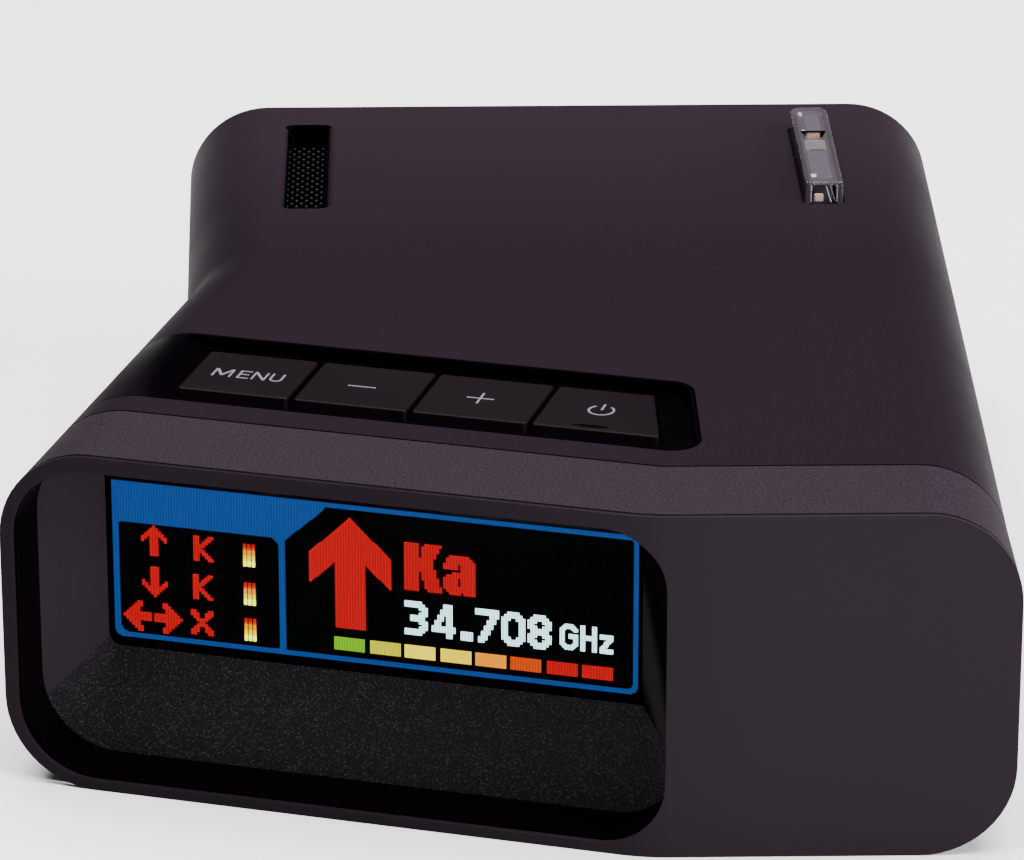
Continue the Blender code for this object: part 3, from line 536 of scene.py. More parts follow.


# Painted light: the top coat is painted lighter towards the far end, a sheen.
SATIN = painted_light_coat("satin_black_coat", "Y", 0.010, 0.050, (0.0076, 0.0046, 0.0074), (0.0118, 0.0076, 0.0112),
                 0.00022, 0.00002)
GRAINED = moulded("fine_grained_black", (0.0154, 0.0110, 0.0152), 0.68, 0.00026, 0.00006, speckle=0.4,
                  Specular_IOR_Level=0.015)
# Painted light: the face is painted darker at the left and lighter towards the right, where the side light
# falls.
FACE = painted_light_coat("smooth_face_coat", "X", -0.012, 0.022, (0.0084, 0.0058, 0.0082), (0.0136, 0.0098, 0.0132),
                0.00016, 0.000012, speckle=0.08)
KEY = moulded("key_satin", (0.0038, 0.0021, 0.0033), 0.48, 0.00018, 0.000015, speckle=0.1,
              Specular_IOR_Level=0.05)
BLACK = moulded("plain_black_plastic", (0.003, 0.003, 0.0032), 0.5, 0.0004, 0.00003,
                Specular_IOR_Level=0.15)
PANEL = moulded("dark_panel", (0.0004, 0.0006, 0.0006), 0.35, 0.0008, 0.000005,
                Specular_IOR_Level=0.005)


def gloss_material():
    """Piano black with faint smears, rougher where it wraps over the left side and painted paler there: a
    painted reflection.
    """
    paint = Paint("piano_black", (0.002, 0.0008, 0.003), 0.24, Specular_IOR_Level=0.02)
    smears = paint.noise(0.006, 4.0, 0.6)
    across = paint.node("ShaderNodeSeparateXYZ", Vector=paint.place).outputs["X"]
    # Painted reflection: the wrap over the left side is painted a paler purple.
    paint.colour(paint.mix(paint.spread(across, -0.0365, -0.0325, 0.0, 1.0), (0.0052, 0.0028, 0.0048),
                           (0.0006, 0.0003, 0.0007)))
    duller = paint.node("ShaderNodeMath", Value=paint.spread(across, -0.036, -0.031, 0.45, 0.0))
    duller.operation = "ADD"
    paint.links.new(paint.spread(smears, 0.35, 0.7, 0.20, 0.30), duller.inputs[1])
    paint.rough(duller.outputs["Value"])
    return paint.material


def hood_material():
    """Spark-eroded texture, its sparkle painted into the colour as small bright cells: painted glints."""
    paint = Paint("sparkle_textured_black", (0.0046, 0.0033, 0.0047), 0.5, Specular_IOR_Level=0.10)
    grain = paint.noise(0.00012, 2.0, 0.7)
    cells = paint.node("ShaderNodeTexVoronoi", Vector=paint.place, Scale=1 / 0.00014)
    pick = paint.spread(paint.node("ShaderNodeSeparateColor", Color=cells.outputs["Color"]).outputs["Red"],
                        0.62, 0.98, 0.0, 1.0)
    dot = paint.spread(cells.outputs["Distance"], 0.35, 0.65, 1.0, 0.0)
    glint = paint.node("ShaderNodeMath", Value=pick)
    glint.operation = "MULTIPLY"
    paint.links.new(dot, glint.inputs[1])
    paint.colour(paint.mix(glint.outputs["Value"], (0.0054, 0.0040, 0.0055), (0.040, 0.034, 0.040)))
    paint.rough(paint.spread(grain, 0.3, 0.7, 0.4, 0.7))
    paint.bump(grain, 0.6, 0.00008)
    return paint.material


GLOSS = gloss_material()
HOOD = hood_material()
# The hood's left slope: a smoother coat, painted paler for the light from the right that falls on it.
HOOD_LIT_SIDE = moulded("hood_side_coat", (0.0158, 0.0116, 0.0156), 0.55, 0.0002, 0.00002,
                    Specular_IOR_Level=0.06)
COLLAR = moulded("collar_gloss", (0.0008, 0.0004, 0.0007), 0.22, 0.0006, 0.00001, wear=0.04,
                 Specular_IOR_Level=0.05)


def ink_material():
    paint = Paint("pale_grey_ink", (0.11, 0.10, 0.115), 0.6, Specular_IOR_Level=0.1)
    specks = paint.noise(0.00015, 2.0)
    paint.colour(paint.mix(paint.spread(specks, 0.35, 0.65, 0.0, 1.0), (0.09, 0.083, 0.094),
                           (0.13, 0.12, 0.134)))
    return paint.material


INK = ink_material()


def glass_material(name, colour, roughness):
    paint = Paint(name, colour, roughness, Transmission_Weight=1.0, IOR=1.49)
    ripple = paint.noise(0.004, 2.0)
    paint.rough(paint.spread(ripple, 0.3, 0.7, roughness * 0.6, roughness * 1.6))
    return paint.material


ACRYLIC = glass_material("clear_acrylic", (0.93, 0.92, 0.95), 0.03)
MILKY = moulded("milky_acrylic", (0.100, 0.086, 0.104), 0.10, 0.0008, 0.00001, speckle=0.1, wear=0.03,
                Alpha=0.28)
# Painted highlight: white pieces for the glints on the light pipe.
GLINT = moulded("bright_facet", (0.95, 0.95, 0.97), 0.25, 0.0005, 0.00001)
# Painted highlight: the pale colour of the light pipe's rails and legs, for light caught along its edges.
LILAC = moulded("pale_lilac_edge", (0.30, 0.26, 0.31), 0.25, 0.0006, 0.00001, speckle=0.5)


def infrared_material():
    paint = Paint("infrared_pass_plastic", (0.010, 0.001, 0.0025), 0.08, Specular_IOR_Level=0.10)
    haze = paint.noise(0.003, 3.0)
    paint.rough(paint.spread(haze, 0.3, 0.7, 0.05, 0.14))
    return paint.material


FROST = moulded("frosted_lilac_acrylic", (0.050, 0.042, 0.056), 0.30, 0.0009, 0.00002, speckle=0.2)
PEARL = moulded("pearl_pink_acrylic", (0.20, 0.145, 0.145), 0.28, 0.0007, 0.00003, speckle=0.35)
PEACH = moulded("peach_pad", (0.42, 0.27, 0.20), 0.5, 0.0006, 0.00002)
BUMPS = moulded("pressed_black_sheet", (0.0075, 0.0079, 0.0079), 0.45, 0.0005, 0.00001,
                Specular_IOR_Level=0.10)


def board_material():
    """Green solder mask with copper tracks showing through."""
    paint = Paint("solder_mask", (0.010, 0.075, 0.030), 0.35)
    tracks = paint.node("ShaderNodeTexVoronoi", Vector=paint.place, Scale=1 / 0.0022)
    tracks.feature = "DISTANCE_TO_EDGE"
    line = paint.spread(tracks.outputs["Distance"], 0.05, 0.09, 1.0, 0.0)
    paint.colour(paint.mix(line, (0.008, 0.060, 0.022), (0.030, 0.150, 0.060)))
    paint.bump(line, 0.4, 0.00004)
    return paint.material


def metal_material(name, colour, roughness, grain):
    paint = Paint(name, colour, roughness, 1.0)
    cast = paint.noise(grain, 4.0, 0.65)
    paint.rough(paint.spread(cast, 0.3, 0.7, roughness - 0.1, roughness + 0.15))
    paint.colour(paint.mix(cast, tuple(c * 0.8 for c in colour), tuple(min(c * 1.15, 1) for c in colour)))
    paint.bump(cast, 0.4, 0.00003)
    return paint.material


INFRARED = infrared_material()
BOARD = board_material()
CAST = metal_material("die_cast_zinc", (0.50, 0.50, 0.52), 0.45, 0.0005)
SHEET = metal_material("tinned_sheet", (0.66, 0.66, 0.68), 0.28, 0.0025)
SCREW = metal_material("black_zinc_screw", (0.09, 0.09, 0.10), 0.38, 0.0004)
CONTACT = metal_material("gold_contact", (0.78, 0.55, 0.22), 0.25, 0.0006)
CERAMIC = moulded("fired_ceramic", (0.52, 0.45, 0.36), 0.65, 0.0003, 0.00004)
PAPER = moulded("cone_paper", (0.030, 0.027, 0.024), 0.9, 0.0007, 0.0001, speckle=0.3)
RIBBON = moulded("amber_film", (0.30, 0.12, 0.02), 0.35, 0.0008, 0.00001)
WIRE = moulded("red_insulation", (0.30, 0.012, 0.012), 0.4, 0.0006, 0.00001)


def add_materials(obj, *materials):
    for material in materials:
        obj.data.materials.append(material)


def show(obj, body, slot, material, *nodes):
    """Finishes a piece: its material if it has none yet, the CAD nodes it stands for, and its body. The slot
    is not used.
    """
    if not obj.data.materials:
        add_materials(obj, material)
    if nodes:
        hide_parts(*nodes)
    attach(obj, body)
    return obj


# Covers.

SLOT_START = 81.9
SLOT_DEPTH = 3.0
GRILLE_END = 107.6
PRISM_END = 105.9
SLOT_CENTRE = (REAR_LEFT + RIGHT) / 2
GRILLE_X = SLOT_CENTRE - 26.0
PRISM_X = SLOT_CENTRE + 26.0
PRISM_WIDTH = 3.8
PRISM_SEAM = 0.15
GRILLE_WIDTH = 4.3
GRILLE_LIP = 0.8
SOCKET_GAP = GAP - 0.05
SOCKET_CORNER = 0.3
SOCKET_LIP = 0.25
LASER_CORNER = 1.2
SOCKETS = {node: cad_box(node) for node in ("power_socket", "audio_socket", "data_socket")}
LASER = cad_box("laser_window")


def slot_outline(x, width, start, end, radius=0.9, far_flare=1.0):
    """Plan of a slot in the top, as a function of a margin, of which the far end may take only a part."""
    return lambda m: rounded_box(x - width / 2 - m, x + width / 2 + m, start - m, end + far_flare * m,
                                 radius + m, steps=6)


def laser_outline(m):
    low, high = LASER
    return rounded_box(low.x - m, high.x + m, low.z - m, high.z + m, LASER_CORNER, steps=6)


def inner_space():
    return to_object(housing_bm(HOUSING_FRONT - OVERCUT, WALL, DEPTH - WALL, WALL, HEIGHT - WALL,
                                TOP_RADIUS - WALL, BASE_RADIUS - WALL), "inner_space", BODY)


def socket_cuts():
    """Flared openings round the sockets, which end at the slanting right side."""
    cutters = []
    for node, (low, high) in SOCKETS.items():
        def around(m, low=low, high=high):
            grow = SOCKET_GAP + m
            return rounded_box(low.y - grow, high.y + grow, low.z - grow, high.z + grow, SOCKET_CORNER + m,
                               steps=4)
        wall = RIGHT + (END_RIGHT - RIGHT) * (low.y - HOUSING_FRONT) / (DEPTH - HOUSING_FRONT)
        cutters.append(flared(f"{node}_way", around, wall - WALL - OVERCUT, wall, SOCKET_LIP, "x"))
    return cutters


top_cover = to_object(housing_bm(HOUSING_FRONT, 0.0, DEPTH, PARTING, HEIGHT, top=TOP_RADIUS,
                                 end_edge=END_EDGE, seam=SEAM_EDGE), "top_cover_shell", BODY)
grille_way = slot_outline(GRILLE_X, GRILLE_WIDTH, SLOT_START, GRILLE_END, far_flare=0.15)
prism_way = slot_outline(PRISM_X, PRISM_WIDTH + 2 * PRISM_SEAM, SLOT_START - PRISM_SEAM,
                         PRISM_END + PRISM_SEAM)
cut(top_cover, inner_space(),
    prism("tray_way", tray_outline(-TRAY_SEAM), TRAY_SKIRT - 0.15, HEIGHT + OVERCUT),
    flared("grille_way", grille_way, HEIGHT - SLOT_DEPTH, HEIGHT, GRILLE_LIP),
    flared("prism_way", prism_way, HEIGHT - SLOT_DEPTH, HEIGHT, PRISM_SEAM),
    flared("laser_way", laser_outline, DEPTH - WALL - OVERCUT, DEPTH, GAP, "y"), *socket_cuts())
add_materials(top_cover, SATIN, PANEL)
# Painted shade: the grille slot's far wall takes the dark panel colour, for the shadow deep in the slot.
to_body_frame = BODY.inverted()
for face in top_cover.data.polygons:
    x, y, z = to_body_frame @ face.center
    at_slot_end = abs(x - GRILLE_X) < GRILLE_WIDTH / 2 + 1 and GRILLE_END - 1.0 < y < GRILLE_END + 0.5
    if at_slot_end and z < HEIGHT - 0.02 and face.normal.y < -0.35:
        face.material_index = 1          # the grille slot's far wall, which is dark
show(shade(top_cover), "housing", "satin_black", None, "top_cover")

SCREWS = [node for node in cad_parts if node.startswith("case_screw")]
BOSS_RADIUS, BOSS_LOW, BOSS_HIGH = 3.5, 0.5, 4.4
COUNTERBORE_RADIUS, COUNTERBORE_DEPTH, COUNTERBORE_LIP = 2.7, 3.0, 0.3
SCREW_HOLE_RADIUS = 1.4
bottom_cover = to_object(housing_bm(HOUSING_FRONT, 0.0, DEPTH, 0.0, BASE_TOP, base=BASE_RADIUS,
                                    end_edge=END_EDGE, seam=SEAM_EDGE), "bottom_cover_shell", BODY)
cut(bottom_cover, inner_space(), *socket_cuts())
for node in SCREWS:
    spot = plan_centre(node)
    cut(bottom_cover, prism("boss", circle(spot, BOSS_RADIUS), BOSS_LOW, BOSS_HIGH), operation="UNION")
    cut(bottom_cover, flared("counterbore", lambda m, spot=spot: circle(spot, COUNTERBORE_RADIUS + m),
                             COUNTERBORE_DEPTH, 0.0, COUNTERBORE_LIP),
        prism("screw_way", circle(spot, SCREW_HOLE_RADIUS), 2.0, 6.0))
show(shade(bottom_cover), "housing", "grained_black", GRAINED, "bottom_cover")

# Front band.


def face_bm(front, back, edge):
    """A strip of the face with the housing's rounded edges, softened along its front and back."""
    bm = slab_bm(band_outline(front, back, 0.0), 0.0, HEIGHT)
    round_sides(bm, 0.0, HEIGHT, TOP_RADIUS, BASE_RADIUS)
    round_edges(bm, lambda e: at_depth(e, front) or at_depth(e, back), edge, 3)
    return bm


front_band = to_object(face_bm(BAND_FRONT, BAND_BACK, SEAM_EDGE), "front_band_shell", BODY)
RIGHT_POCKET_LEFT = 20.5
POCKET_BACK = 16.0
hood_pocket = recess_outline(HOOD_RIM + GAP, HOOD_RIM_LOW + GAP)
right_pocket = rounded_box(RIGHT_POCKET_LEFT, RIGHT - WALL, WALL, HEIGHT - WALL, BASE_RADIUS - WALL,
                           TOP_RADIUS - WALL)
cut(front_band, prism("hood_pocket", hood_pocket, -6.0, POCKET_BACK, "y", DISPLAY),
    prism("right_pocket", right_pocket, -2.0, POCKET_BACK, "y"))
show(shade(front_band), "housing", "grained_black", GRAINED, "front_band")

# Face plate, which rocks as one piece.

face_plate = to_object(face_bm(0.0, PLATE_SKIN, 0.15), "face_plate_shell", BODY)
cut(face_plate, flared("recess_way", recess_outline, 6.0, 0.0, 0.15, "y", DISPLAY))
rib = box("rib", (22.0, 41.5), (0.4, 2.6), (14.0, 18.0))
pusher = prism("pusher", circle((34.0, 16.0), 1.2, 24), 1.0, 6.4, "y")
cut(face_plate, rib, pusher, operation="UNION")
show(shade(face_plate), "face_plate", "face_black", FACE, "face_plate")

# Display hood: a glossy collar, a textured floor and a satin slope at the left, down to the window; the slope
# is painted paler, painted light from the right.

SCREEN_LEFT, SCREEN_RIGHT, SCREEN_LOW, SCREEN_HIGH = SCREEN


def slope_cutter():
    """The hood's opening, straight through the collar and then narrowing to the window."""
    screen = rounded([((SCREEN_LEFT, SCREEN_LOW), SCREEN_CORNER), ((SCREEN_RIGHT, SCREEN_LOW), 0),
                      ((SCREEN_RIGHT, SCREEN_HIGH), 0), ((SCREEN_LEFT, SCREEN_HIGH), 0)])
    ring = screen[:-3] + [corner for corner in screen[-3:] for _ in range(ARC_STEPS + 1)]
    return stack("slope", [(recess_outline(), -8.0), (recess_outline(), HOOD_FRONT), (ring, HOOD_BACK),
                           (ring, HOOD_BACK + 2.0)], "y", DISPLAY)


hood_outline = recess_outline(HOOD_RIM, HOOD_RIM_LOW)
hood = prism("display_hood_shell", hood_outline, HOOD_MOUTH, HOOD_BACK, "y", DISPLAY)
trim = band_outline(-8.0, BAND_FRONT + 0.1, -5.0)
cut(hood, slope_cutter(), prism("trim", trim, -2.0, HEIGHT + 2))
add_materials(hood, COLLAR, HOOD, HOOD_LIT_SIDE)
to_display = DISPLAY.inverted()
for face in hood.data.polygons:
    slant = (to_display.to_3x3() @ face.normal).normalized()
    if (to_display @ face.center).y > HOOD_FRONT + 0.01:
        # Faces turned to the right, the left slope, take the paler coat: painted light.
        face.material_index = 1 if slant.z > 0.15 else 2 if slant.x > 0.15 else 0
show(shade(hood, 25), "housing", "hood_black", None, "display_hood")

# Key tray.

TRAY_SLOPE_START = -50.3
TRAY_SLOPE = 2.6             # length of the slope at the floor's left end
tray = to_object(housing_bm(HOUSING_FRONT, 0.0, DEPTH, TRAY_SKIRT, HEIGHT, top=TOP_RADIUS),
                 "button_tray_shell", BODY)
cut(tray, inner_space())
cut(tray, prism("tray_plan", tray_outline(0.0), TRAY_SKIRT - OVERCUT, HEIGHT + OVERCUT),
    operation="INTERSECT")


def key_hole_outline(m):
    corners = key_corners(KEY_EDGES["menu_key"][0] - KEY_CLEARANCE - m, None, KEY_FRONT - KEY_CLEARANCE - m,
                          KEY_BACK + KEY_CLEARANCE + m, KEY_CLEARANCE + m)
    return rounded([(corner, KEY_HOLE_CORNER + m) for corner in corners], 6)


def floor_cutter():
    """The tray's sunk floor. Its left end rises in a soft slope to the flush part over the side."""
    base = HEIGHT - TRAY_SINK
    rings = []
    for k in range(9):
        t = k / 8
        rise = TRAY_SINK * (1 - math.cos(math.pi * t)) / 2
        rings.append((tray_outline(0.35, TRAY_SLOPE_START - TRAY_SLOPE * t), base + rise))
    rings.append((rings[-1][0], HEIGHT + OVERCUT))
    return stack("floor", rings)


cut(tray, floor_cutter(), prism("key_way", key_hole_outline(0.0), HEIGHT - 6, HEIGHT + OVERCUT))
show(shade(tray, 40), "housing", "gloss_black", GLOSS, "button_tray")

# Keys with softly rounded tops.


def key_cap(name, corners):
    bm = slab_bm(rounded([(c, KEY_CORNER) for c in corners], 4), KEY_BASE, KEY_TOP)
    round_edges(bm, lambda e: level(e, KEY_TOP), KEY_EDGE, 4)
    return to_object(bm, name, BODY)


def crescent_outline():
    """Plan of the shallow finger mark near the power key's front edge, in the display frame."""
    left, right, middle, far_bulge, near_bulge = -12.4, -8.5, 20.05, 0.22, 0.42
    far = [(left + (right - left) * k / 12, middle + far_bulge * math.sin(math.pi * k / 12))
           for k in range(13)]
    near = [(right + (left - right) * k / 12, middle - near_bulge * math.sin(math.pi * k / 12))
            for k in range(1, 12)]
    return far + near


for node, (left, right) in KEY_EDGES.items():
    key = key_cap(f"{node}_cap", key_corners(left, right, KEY_FRONT, KEY_BACK))
    flange_end = right - FLANGE_INSET if right is not None else None
    flange_corners = key_corners(left + FLANGE_INSET, flange_end, KEY_FRONT - FLANGE_REACH,
                                 KEY_BACK + FLANGE_REACH, -FLANGE_INSET)
    flange = prism("flange", flange_corners, 28.0, 30.0)
    centre = to_body((left + (right if right is not None else POWER_KEY_END)) / 2, (KEY_FRONT + KEY_BACK) / 2)
    stem = prism("stem", circle(centre, KEY_STEM_RADIUS, 24), cad_box(node)[0].z, 29.3)
    cut(key, flange, stem, operation="UNION")
    if node == "power_key":
        cut(key, prism("crescent", crescent_outline(), KEY_TOP - 0.22, KEY_TOP + OVERCUT, "z", DISPLAY))
    show(shade(key), node, "key_black", KEY, node)

# Window and display.

WINDOW_MARGIN = 1.6
window_outline = rounded_box(SCREEN_LEFT - WINDOW_MARGIN, SCREEN_RIGHT + 1.4, SCREEN_LOW - WINDOW_MARGIN,
                             SCREEN_HIGH + WINDOW_MARGIN, 0.6, steps=4)
window = prism("display_window_pane", window_outline, HOOD_BACK + GAP, HOOD_BACK + 1.2, "y", DISPLAY)
PANE = moulded("clear_window", (0.0005, 0.0006, 0.0008), 0.08, 0.004, 0.000002, wear=0.03, Alpha=0.06,
               Specular_IOR_Level=0.03)
show(window, "housing", "screen_glass", PANE, "display_window")

# The picture on the display: a grid of lit cells, drawn as rectangles of equal colour.

PIXEL = 0.2725
COLUMNS, ROWS = 183, 57
FINE = 2                     # steps that a cell is divided into, for smooth corners and diagonals
PICTURE_LEFT, PICTURE_LOW, PICTURE_BACK, PICTURE_THICK = -53.55, 10.15, 11.5, 0.15

GLYPHS = {
    "K": """
##...##
##..##.
##.##..
####...
###....
####...
##.##..
##..##.
##...##
""", "X": """
##....##
###..###
.##..##.
..####..
...##...
..####..
.##..##.
###..###
##....##
""", "arrow": """
....#....
...###...
..#####..
.#######.
##.###.##
#..###..#
...###...
...###...
...###...
...###...
...###...
""", "side arrow": """
.....##...
....###...
...###....
..####....
.#########
##########
.#########
..####....
...###....
....###...
.....##...
""", "bold K": """
#####..######.
#####.######..
#####.######..
#####.#####...
#####.#####...
##########....
##########....
##########....
##########....
###########...
#####.#####...
#####.#####...
#####.######..
#####..#####..
#####..#####..
#####..######.
#####...#####.
""", "bold a": """
..#######..
.#########.
.##########
#####.#####
#####.#####
......#####
...########
.##########
#####.#####
#####.#####
#####.#####
###########
.##########
..####.####
""", "3": """
######..
#######.
.....###
......##
.....###
..#####.
..#####.
.....###
......##
.....###
#######.
######..
""", "4": """
....###.
....###.
...####.
...####.
..##.##.
..##.##.
.##..##.
.##..##.
########
########
.....##.
.....##.
""", "7": """
########
########
.....###
.....##.
....###.
....##..
...###..
...##...
..###...
..##....
.###....
.##.....
""", "0": """
..####..
.######.
###..###
##....##
##....##
##....##
##....##
##....##
##....##
###..###
.######.
..####..
""", "8": """
..####..
.######.
###..###
##....##
###..###
.######.
.######.
###..###
##....##
###..###
.######.
..####..
""", ".": """
####
####
####
""",
}

LIT = {
    "blue": (0.004, 0.088, 0.42), "red": (0.85, 0.003, 0.009), "white": (2.3, 3.7, 3.9), "black": None,
    "green": (0.29, 0.9, 0.0), "lime": (1.15, 1.15, 0.0), "pale": (2.3, 1.9, 0.0), "yellow": (2.0, 1.55, 0.0),
    "amber": (1.9, 0.62, 0.0), "orange": (1.1, 0.10, 0.0), "cream": (4.0, 4.0, 0.1),
}
picture = [["blue"] * (COLUMNS * FINE) for _ in range(ROWS * FINE)]


SQUARE = (0, 0, 0, 0)


def paint_where(test, colour):
    """Colours each step whose centre passes a test of its place from the left and from the base, in cells."""
    for row, line in enumerate(picture):
        for column in range(len(line)):
            if test((column + 0.5) / FINE, (row + 0.5) / FINE):
                line[column] = colour


def paint_rounded(left, low, right, high, colour, radii=SQUARE):
    """A rectangle whose corners, from low left round to high left, have their own radii."""
    corners = ((left, 1, low, 1), (right, -1, low, 1), (right, -1, high, -1), (left, 1, high, -1))

    def inside(x, y):
        if not (left < x < right and low < y < high):
            return False
        for (cx, sx, cy, sy), radius in zip(corners, radii):
            dx, dy = (cx + sx * radius - x) * sx, (cy + sy * radius - y) * sy
            if dx > 0 and dy > 0 and dx * dx + dy * dy > radius * radius:
                return False
        return True
    paint_where(inside, colour)


def paint_polygon(points, colour):
    def inside(x, y):
        odd = False
        for (x0, y0), (x1, y1) in zip(points, points[1:] + points[:1]):
            if (y0 > y) != (y1 > y) and x < x0 + (y - y0) * (x1 - x0) / (y1 - y0):
                odd = not odd
        return odd
    paint_where(inside, colour)


def glyph_rows(name):
    return GLYPHS[name].strip().split("\n")


def stamp(rows, column, top, colour):
    """Draws a glyph with its left column and its top row given."""
    for down in range(len(rows) * FINE):
        for across in range(len(rows[0]) * FINE):
            if rows[down // FINE][across // FINE] == "#":
                picture[int(top * FINE) - down - 1][int(column * FINE) + across] = colour


FRAME_RADIUS = 3             # of the blue frame's outer corners, in cells
for column, low, sx, sy in ((1, 0.5, 1, 1), (COLUMNS, 0.5, -1, 1), (COLUMNS, ROWS, -1, -1)):
    paint_where(lambda x, y: (x - column) * sx < FRAME_RADIUS and (y - low) * sy < FRAME_RADIUS
                and (FRAME_RADIUS - (x - column) * sx) ** 2 + (FRAME_RADIUS - (y - low) * sy) ** 2
                > FRAME_RADIUS ** 2, "black")
paint_rounded(-1, -1, 1, ROWS + 1, "black")
paint_rounded(-1, -1, COLUMNS + 1, 0.5, "black")
paint_rounded(3, 2, 59.5, 42.5, "black", (3, 1.5, 3.5, 1))
paint_rounded(61.5, 2, COLUMNS - 1.5, ROWS - 1.5, "black", (0.5, 2.5, 1.5, 0))
paint_polygon([(60.5, 41), (60.5, 58), (75.5, 58), (75.5, 54.6)], "blue")
paint_rounded(1, ROWS - 1.5, COLUMNS - 3, ROWS + 9, "blue")

up = glyph_rows("arrow")
stamp(up, 11, 42, "red")
stamp(up[::-1], 11, 27, "red")
side_arrow = glyph_rows("side arrow")
stamp(side_arrow, 4, 14, "red")
stamp([line[::-1] for line in side_arrow], 15, 14, "red")
for glyph, column, top in (("K", 29.5, 40), ("K", 29, 26), ("X", 28, 13)):
    stamp(glyph_rows(glyph), column, top, "red")
    for step, colour in enumerate(("red", "orange", "amber", "amber", "yellow", "pale", "cream", "cream")):
        for strip in (47, 48.5, 50):
            paint_rounded(strip, top - 2 - step, strip + 1, top - 1 - step, colour)

ARROW_HALF, SHAFT_HALF, ARROW_X = 14.2, 5.1, 84.3
head = [(ARROW_X, 52.3), (ARROW_X + ARROW_HALF, 38.8), (ARROW_X + ARROW_HALF, 27.8),
        (ARROW_X + SHAFT_HALF, 36.2), (ARROW_X + SHAFT_HALF, 12.3)]
paint_polygon(head + [(2 * ARROW_X - x, y) for x, y in reversed(head[1:])], "red")
stamp(glyph_rows("bold K"), 103, 46, "red")
stamp(glyph_rows("bold a"), 116.5, 43, "red")

READOUT_LOW = 13
for glyph, column in zip("34.708", (103, 112.5, 122.5, 127.5, 136.5, 145.5)):
    rows = glyph_rows(glyph)
    stamp(rows, column, READOUT_LOW + len(rows), "white")

# The thin letters of the unit, drawn with a pen 1.5 cells wide.
UNIT_LOW, UNIT_HIGH, UNIT_PEN, UNIT_BAR = 14.0, 23.0, 1.5, 18.0
G_LEFT, G_RIGHT, H_LEFT, H_RIGHT, Z_LEFT, Z_RIGHT, Z_HIGH = 156.5, 162.5, 163.5, 169.0, 170.0, 174.5, 20.5
paint_rounded(G_LEFT, UNIT_LOW, G_RIGHT, UNIT_HIGH, "white", (2.6,) * 4)
paint_rounded(G_LEFT + UNIT_PEN, UNIT_LOW + UNIT_PEN, G_RIGHT - UNIT_PEN, UNIT_HIGH - UNIT_PEN, "black",
              (1.2,) * 4)
paint_rounded(G_RIGHT - 2, UNIT_BAR + UNIT_PEN, G_RIGHT, UNIT_HIGH - 2.4, "black")
for left, low, right, high in ((G_RIGHT - 3, UNIT_BAR, G_RIGHT, UNIT_BAR + UNIT_PEN),
                               (H_LEFT, UNIT_LOW, H_LEFT + UNIT_PEN, UNIT_HIGH),
                               (H_RIGHT - UNIT_PEN, UNIT_LOW, H_RIGHT, UNIT_HIGH),
                               (H_LEFT, UNIT_BAR, H_RIGHT, UNIT_BAR + UNIT_PEN),
                               (Z_LEFT, UNIT_LOW, Z_RIGHT, UNIT_LOW + UNIT_PEN),
                               (Z_LEFT, Z_HIGH - UNIT_PEN, Z_RIGHT, Z_HIGH)):
    paint_rounded(left, low, right, high, "white")
Z_STROKE = 1.9               # width of the slanting stroke along a row
paint_polygon([(Z_LEFT, UNIT_LOW + UNIT_PEN), (Z_LEFT + Z_STROKE, UNIT_LOW + UNIT_PEN),
               (Z_RIGHT, Z_HIGH - UNIT_PEN), (Z_RIGHT - Z_STROKE, Z_HIGH - UNIT_PEN)], "white")
BAR_LEFT, BAR_STEP, BAR_WIDTH = 78.7, 12.2, 10.5
for step, colour in enumerate(("green", "lime", "pale", "yellow", "amber", "orange", "red", "red")):
    start = BAR_LEFT + BAR_STEP * step
    paint_rounded(start, 4.5, start + BAR_WIDTH, 9, colour)


def lit_material(name, colour):
    """A lit display cell: brighter at the middle of its column, with a dark line between columns."""
    line = 0.35 if name == "white" else 0.68
    paint = Paint(f"lit_{name}", (0.0, 0.0, 0.0), 0.6, Specular_IOR_Level=0.05)
    turn = paint.node("ShaderNodeVectorRotate", Vector=paint.place, Angle=DISPLAY_ANGLE,
                      Center=DISPLAY @ Vector((PICTURE_LEFT, PICTURE_BACK, 0.0)))
    stripe = paint.node("ShaderNodeTexWave", Vector=turn.outputs["Vector"],
                        Scale=math.tau / 20 / (PIXEL * MM), Phase_Offset=-math.pi / 2)
    colour_now = paint.mix(stripe.outputs["Fac"], tuple(line * c for c in colour), colour)
    paint.links.new(colour_now, paint.shader.inputs["Emission Color"])
    paint.shader.inputs["Emission Strength"].default_value = 1.0
    return paint.material


def blocks():
    """Rectangles of equal colour over the lit steps: colour, first column and row, end column and row."""
    open_runs = {}
    for row, line in enumerate(picture + [["black"] * (COLUMNS * FINE)]):
        runs = {}
        column = 0
        while column < len(line):
            end = column
            while end < len(line) and line[end] == line[column]:
                end += 1
            if line[column] != "black":
                run = (line[column], column, end)
                runs[run] = open_runs.pop(run, row)
            column = end
        for (colour, start, end), first in open_runs.items():
            yield colour, start, first, end, row
        open_runs = runs


def picture_piece():
    bm = bmesh.new()
    names = [name for name, colour in LIT.items() if colour]
    for colour, start, first, end, last in blocks():
        corners = [(PICTURE_LEFT + c * PIXEL / FINE, PICTURE_LOW + r * PIXEL / FINE)
                   for c, r in ((start, first), (end, first), (end, last), (start, last))]
        front, back = ([bm.verts.new((a, depth, z)) for a, z in corners]
                       for depth in (PICTURE_BACK, PICTURE_BACK + PICTURE_THICK))
        faces = [bm.faces.new(front), bm.faces.new(back[::-1])]
        faces += [bm.faces.new((front[k - 1], back[k - 1], back[k], front[k])) for k in range(4)]
        for face in faces:
            face.material_index = names.index(colour)
    bmesh.ops.recalc_face_normals(bm, faces=bm.faces)
    obj = to_object(bm, "display_picture", DISPLAY)
    add_materials(obj, *[lit_material(name, LIT[name]) for name in names])
    return obj


show(picture_piece(), "housing", "screen_glass", None)

# Printed marks on the keys, thin solids that stand a hair proud of them.

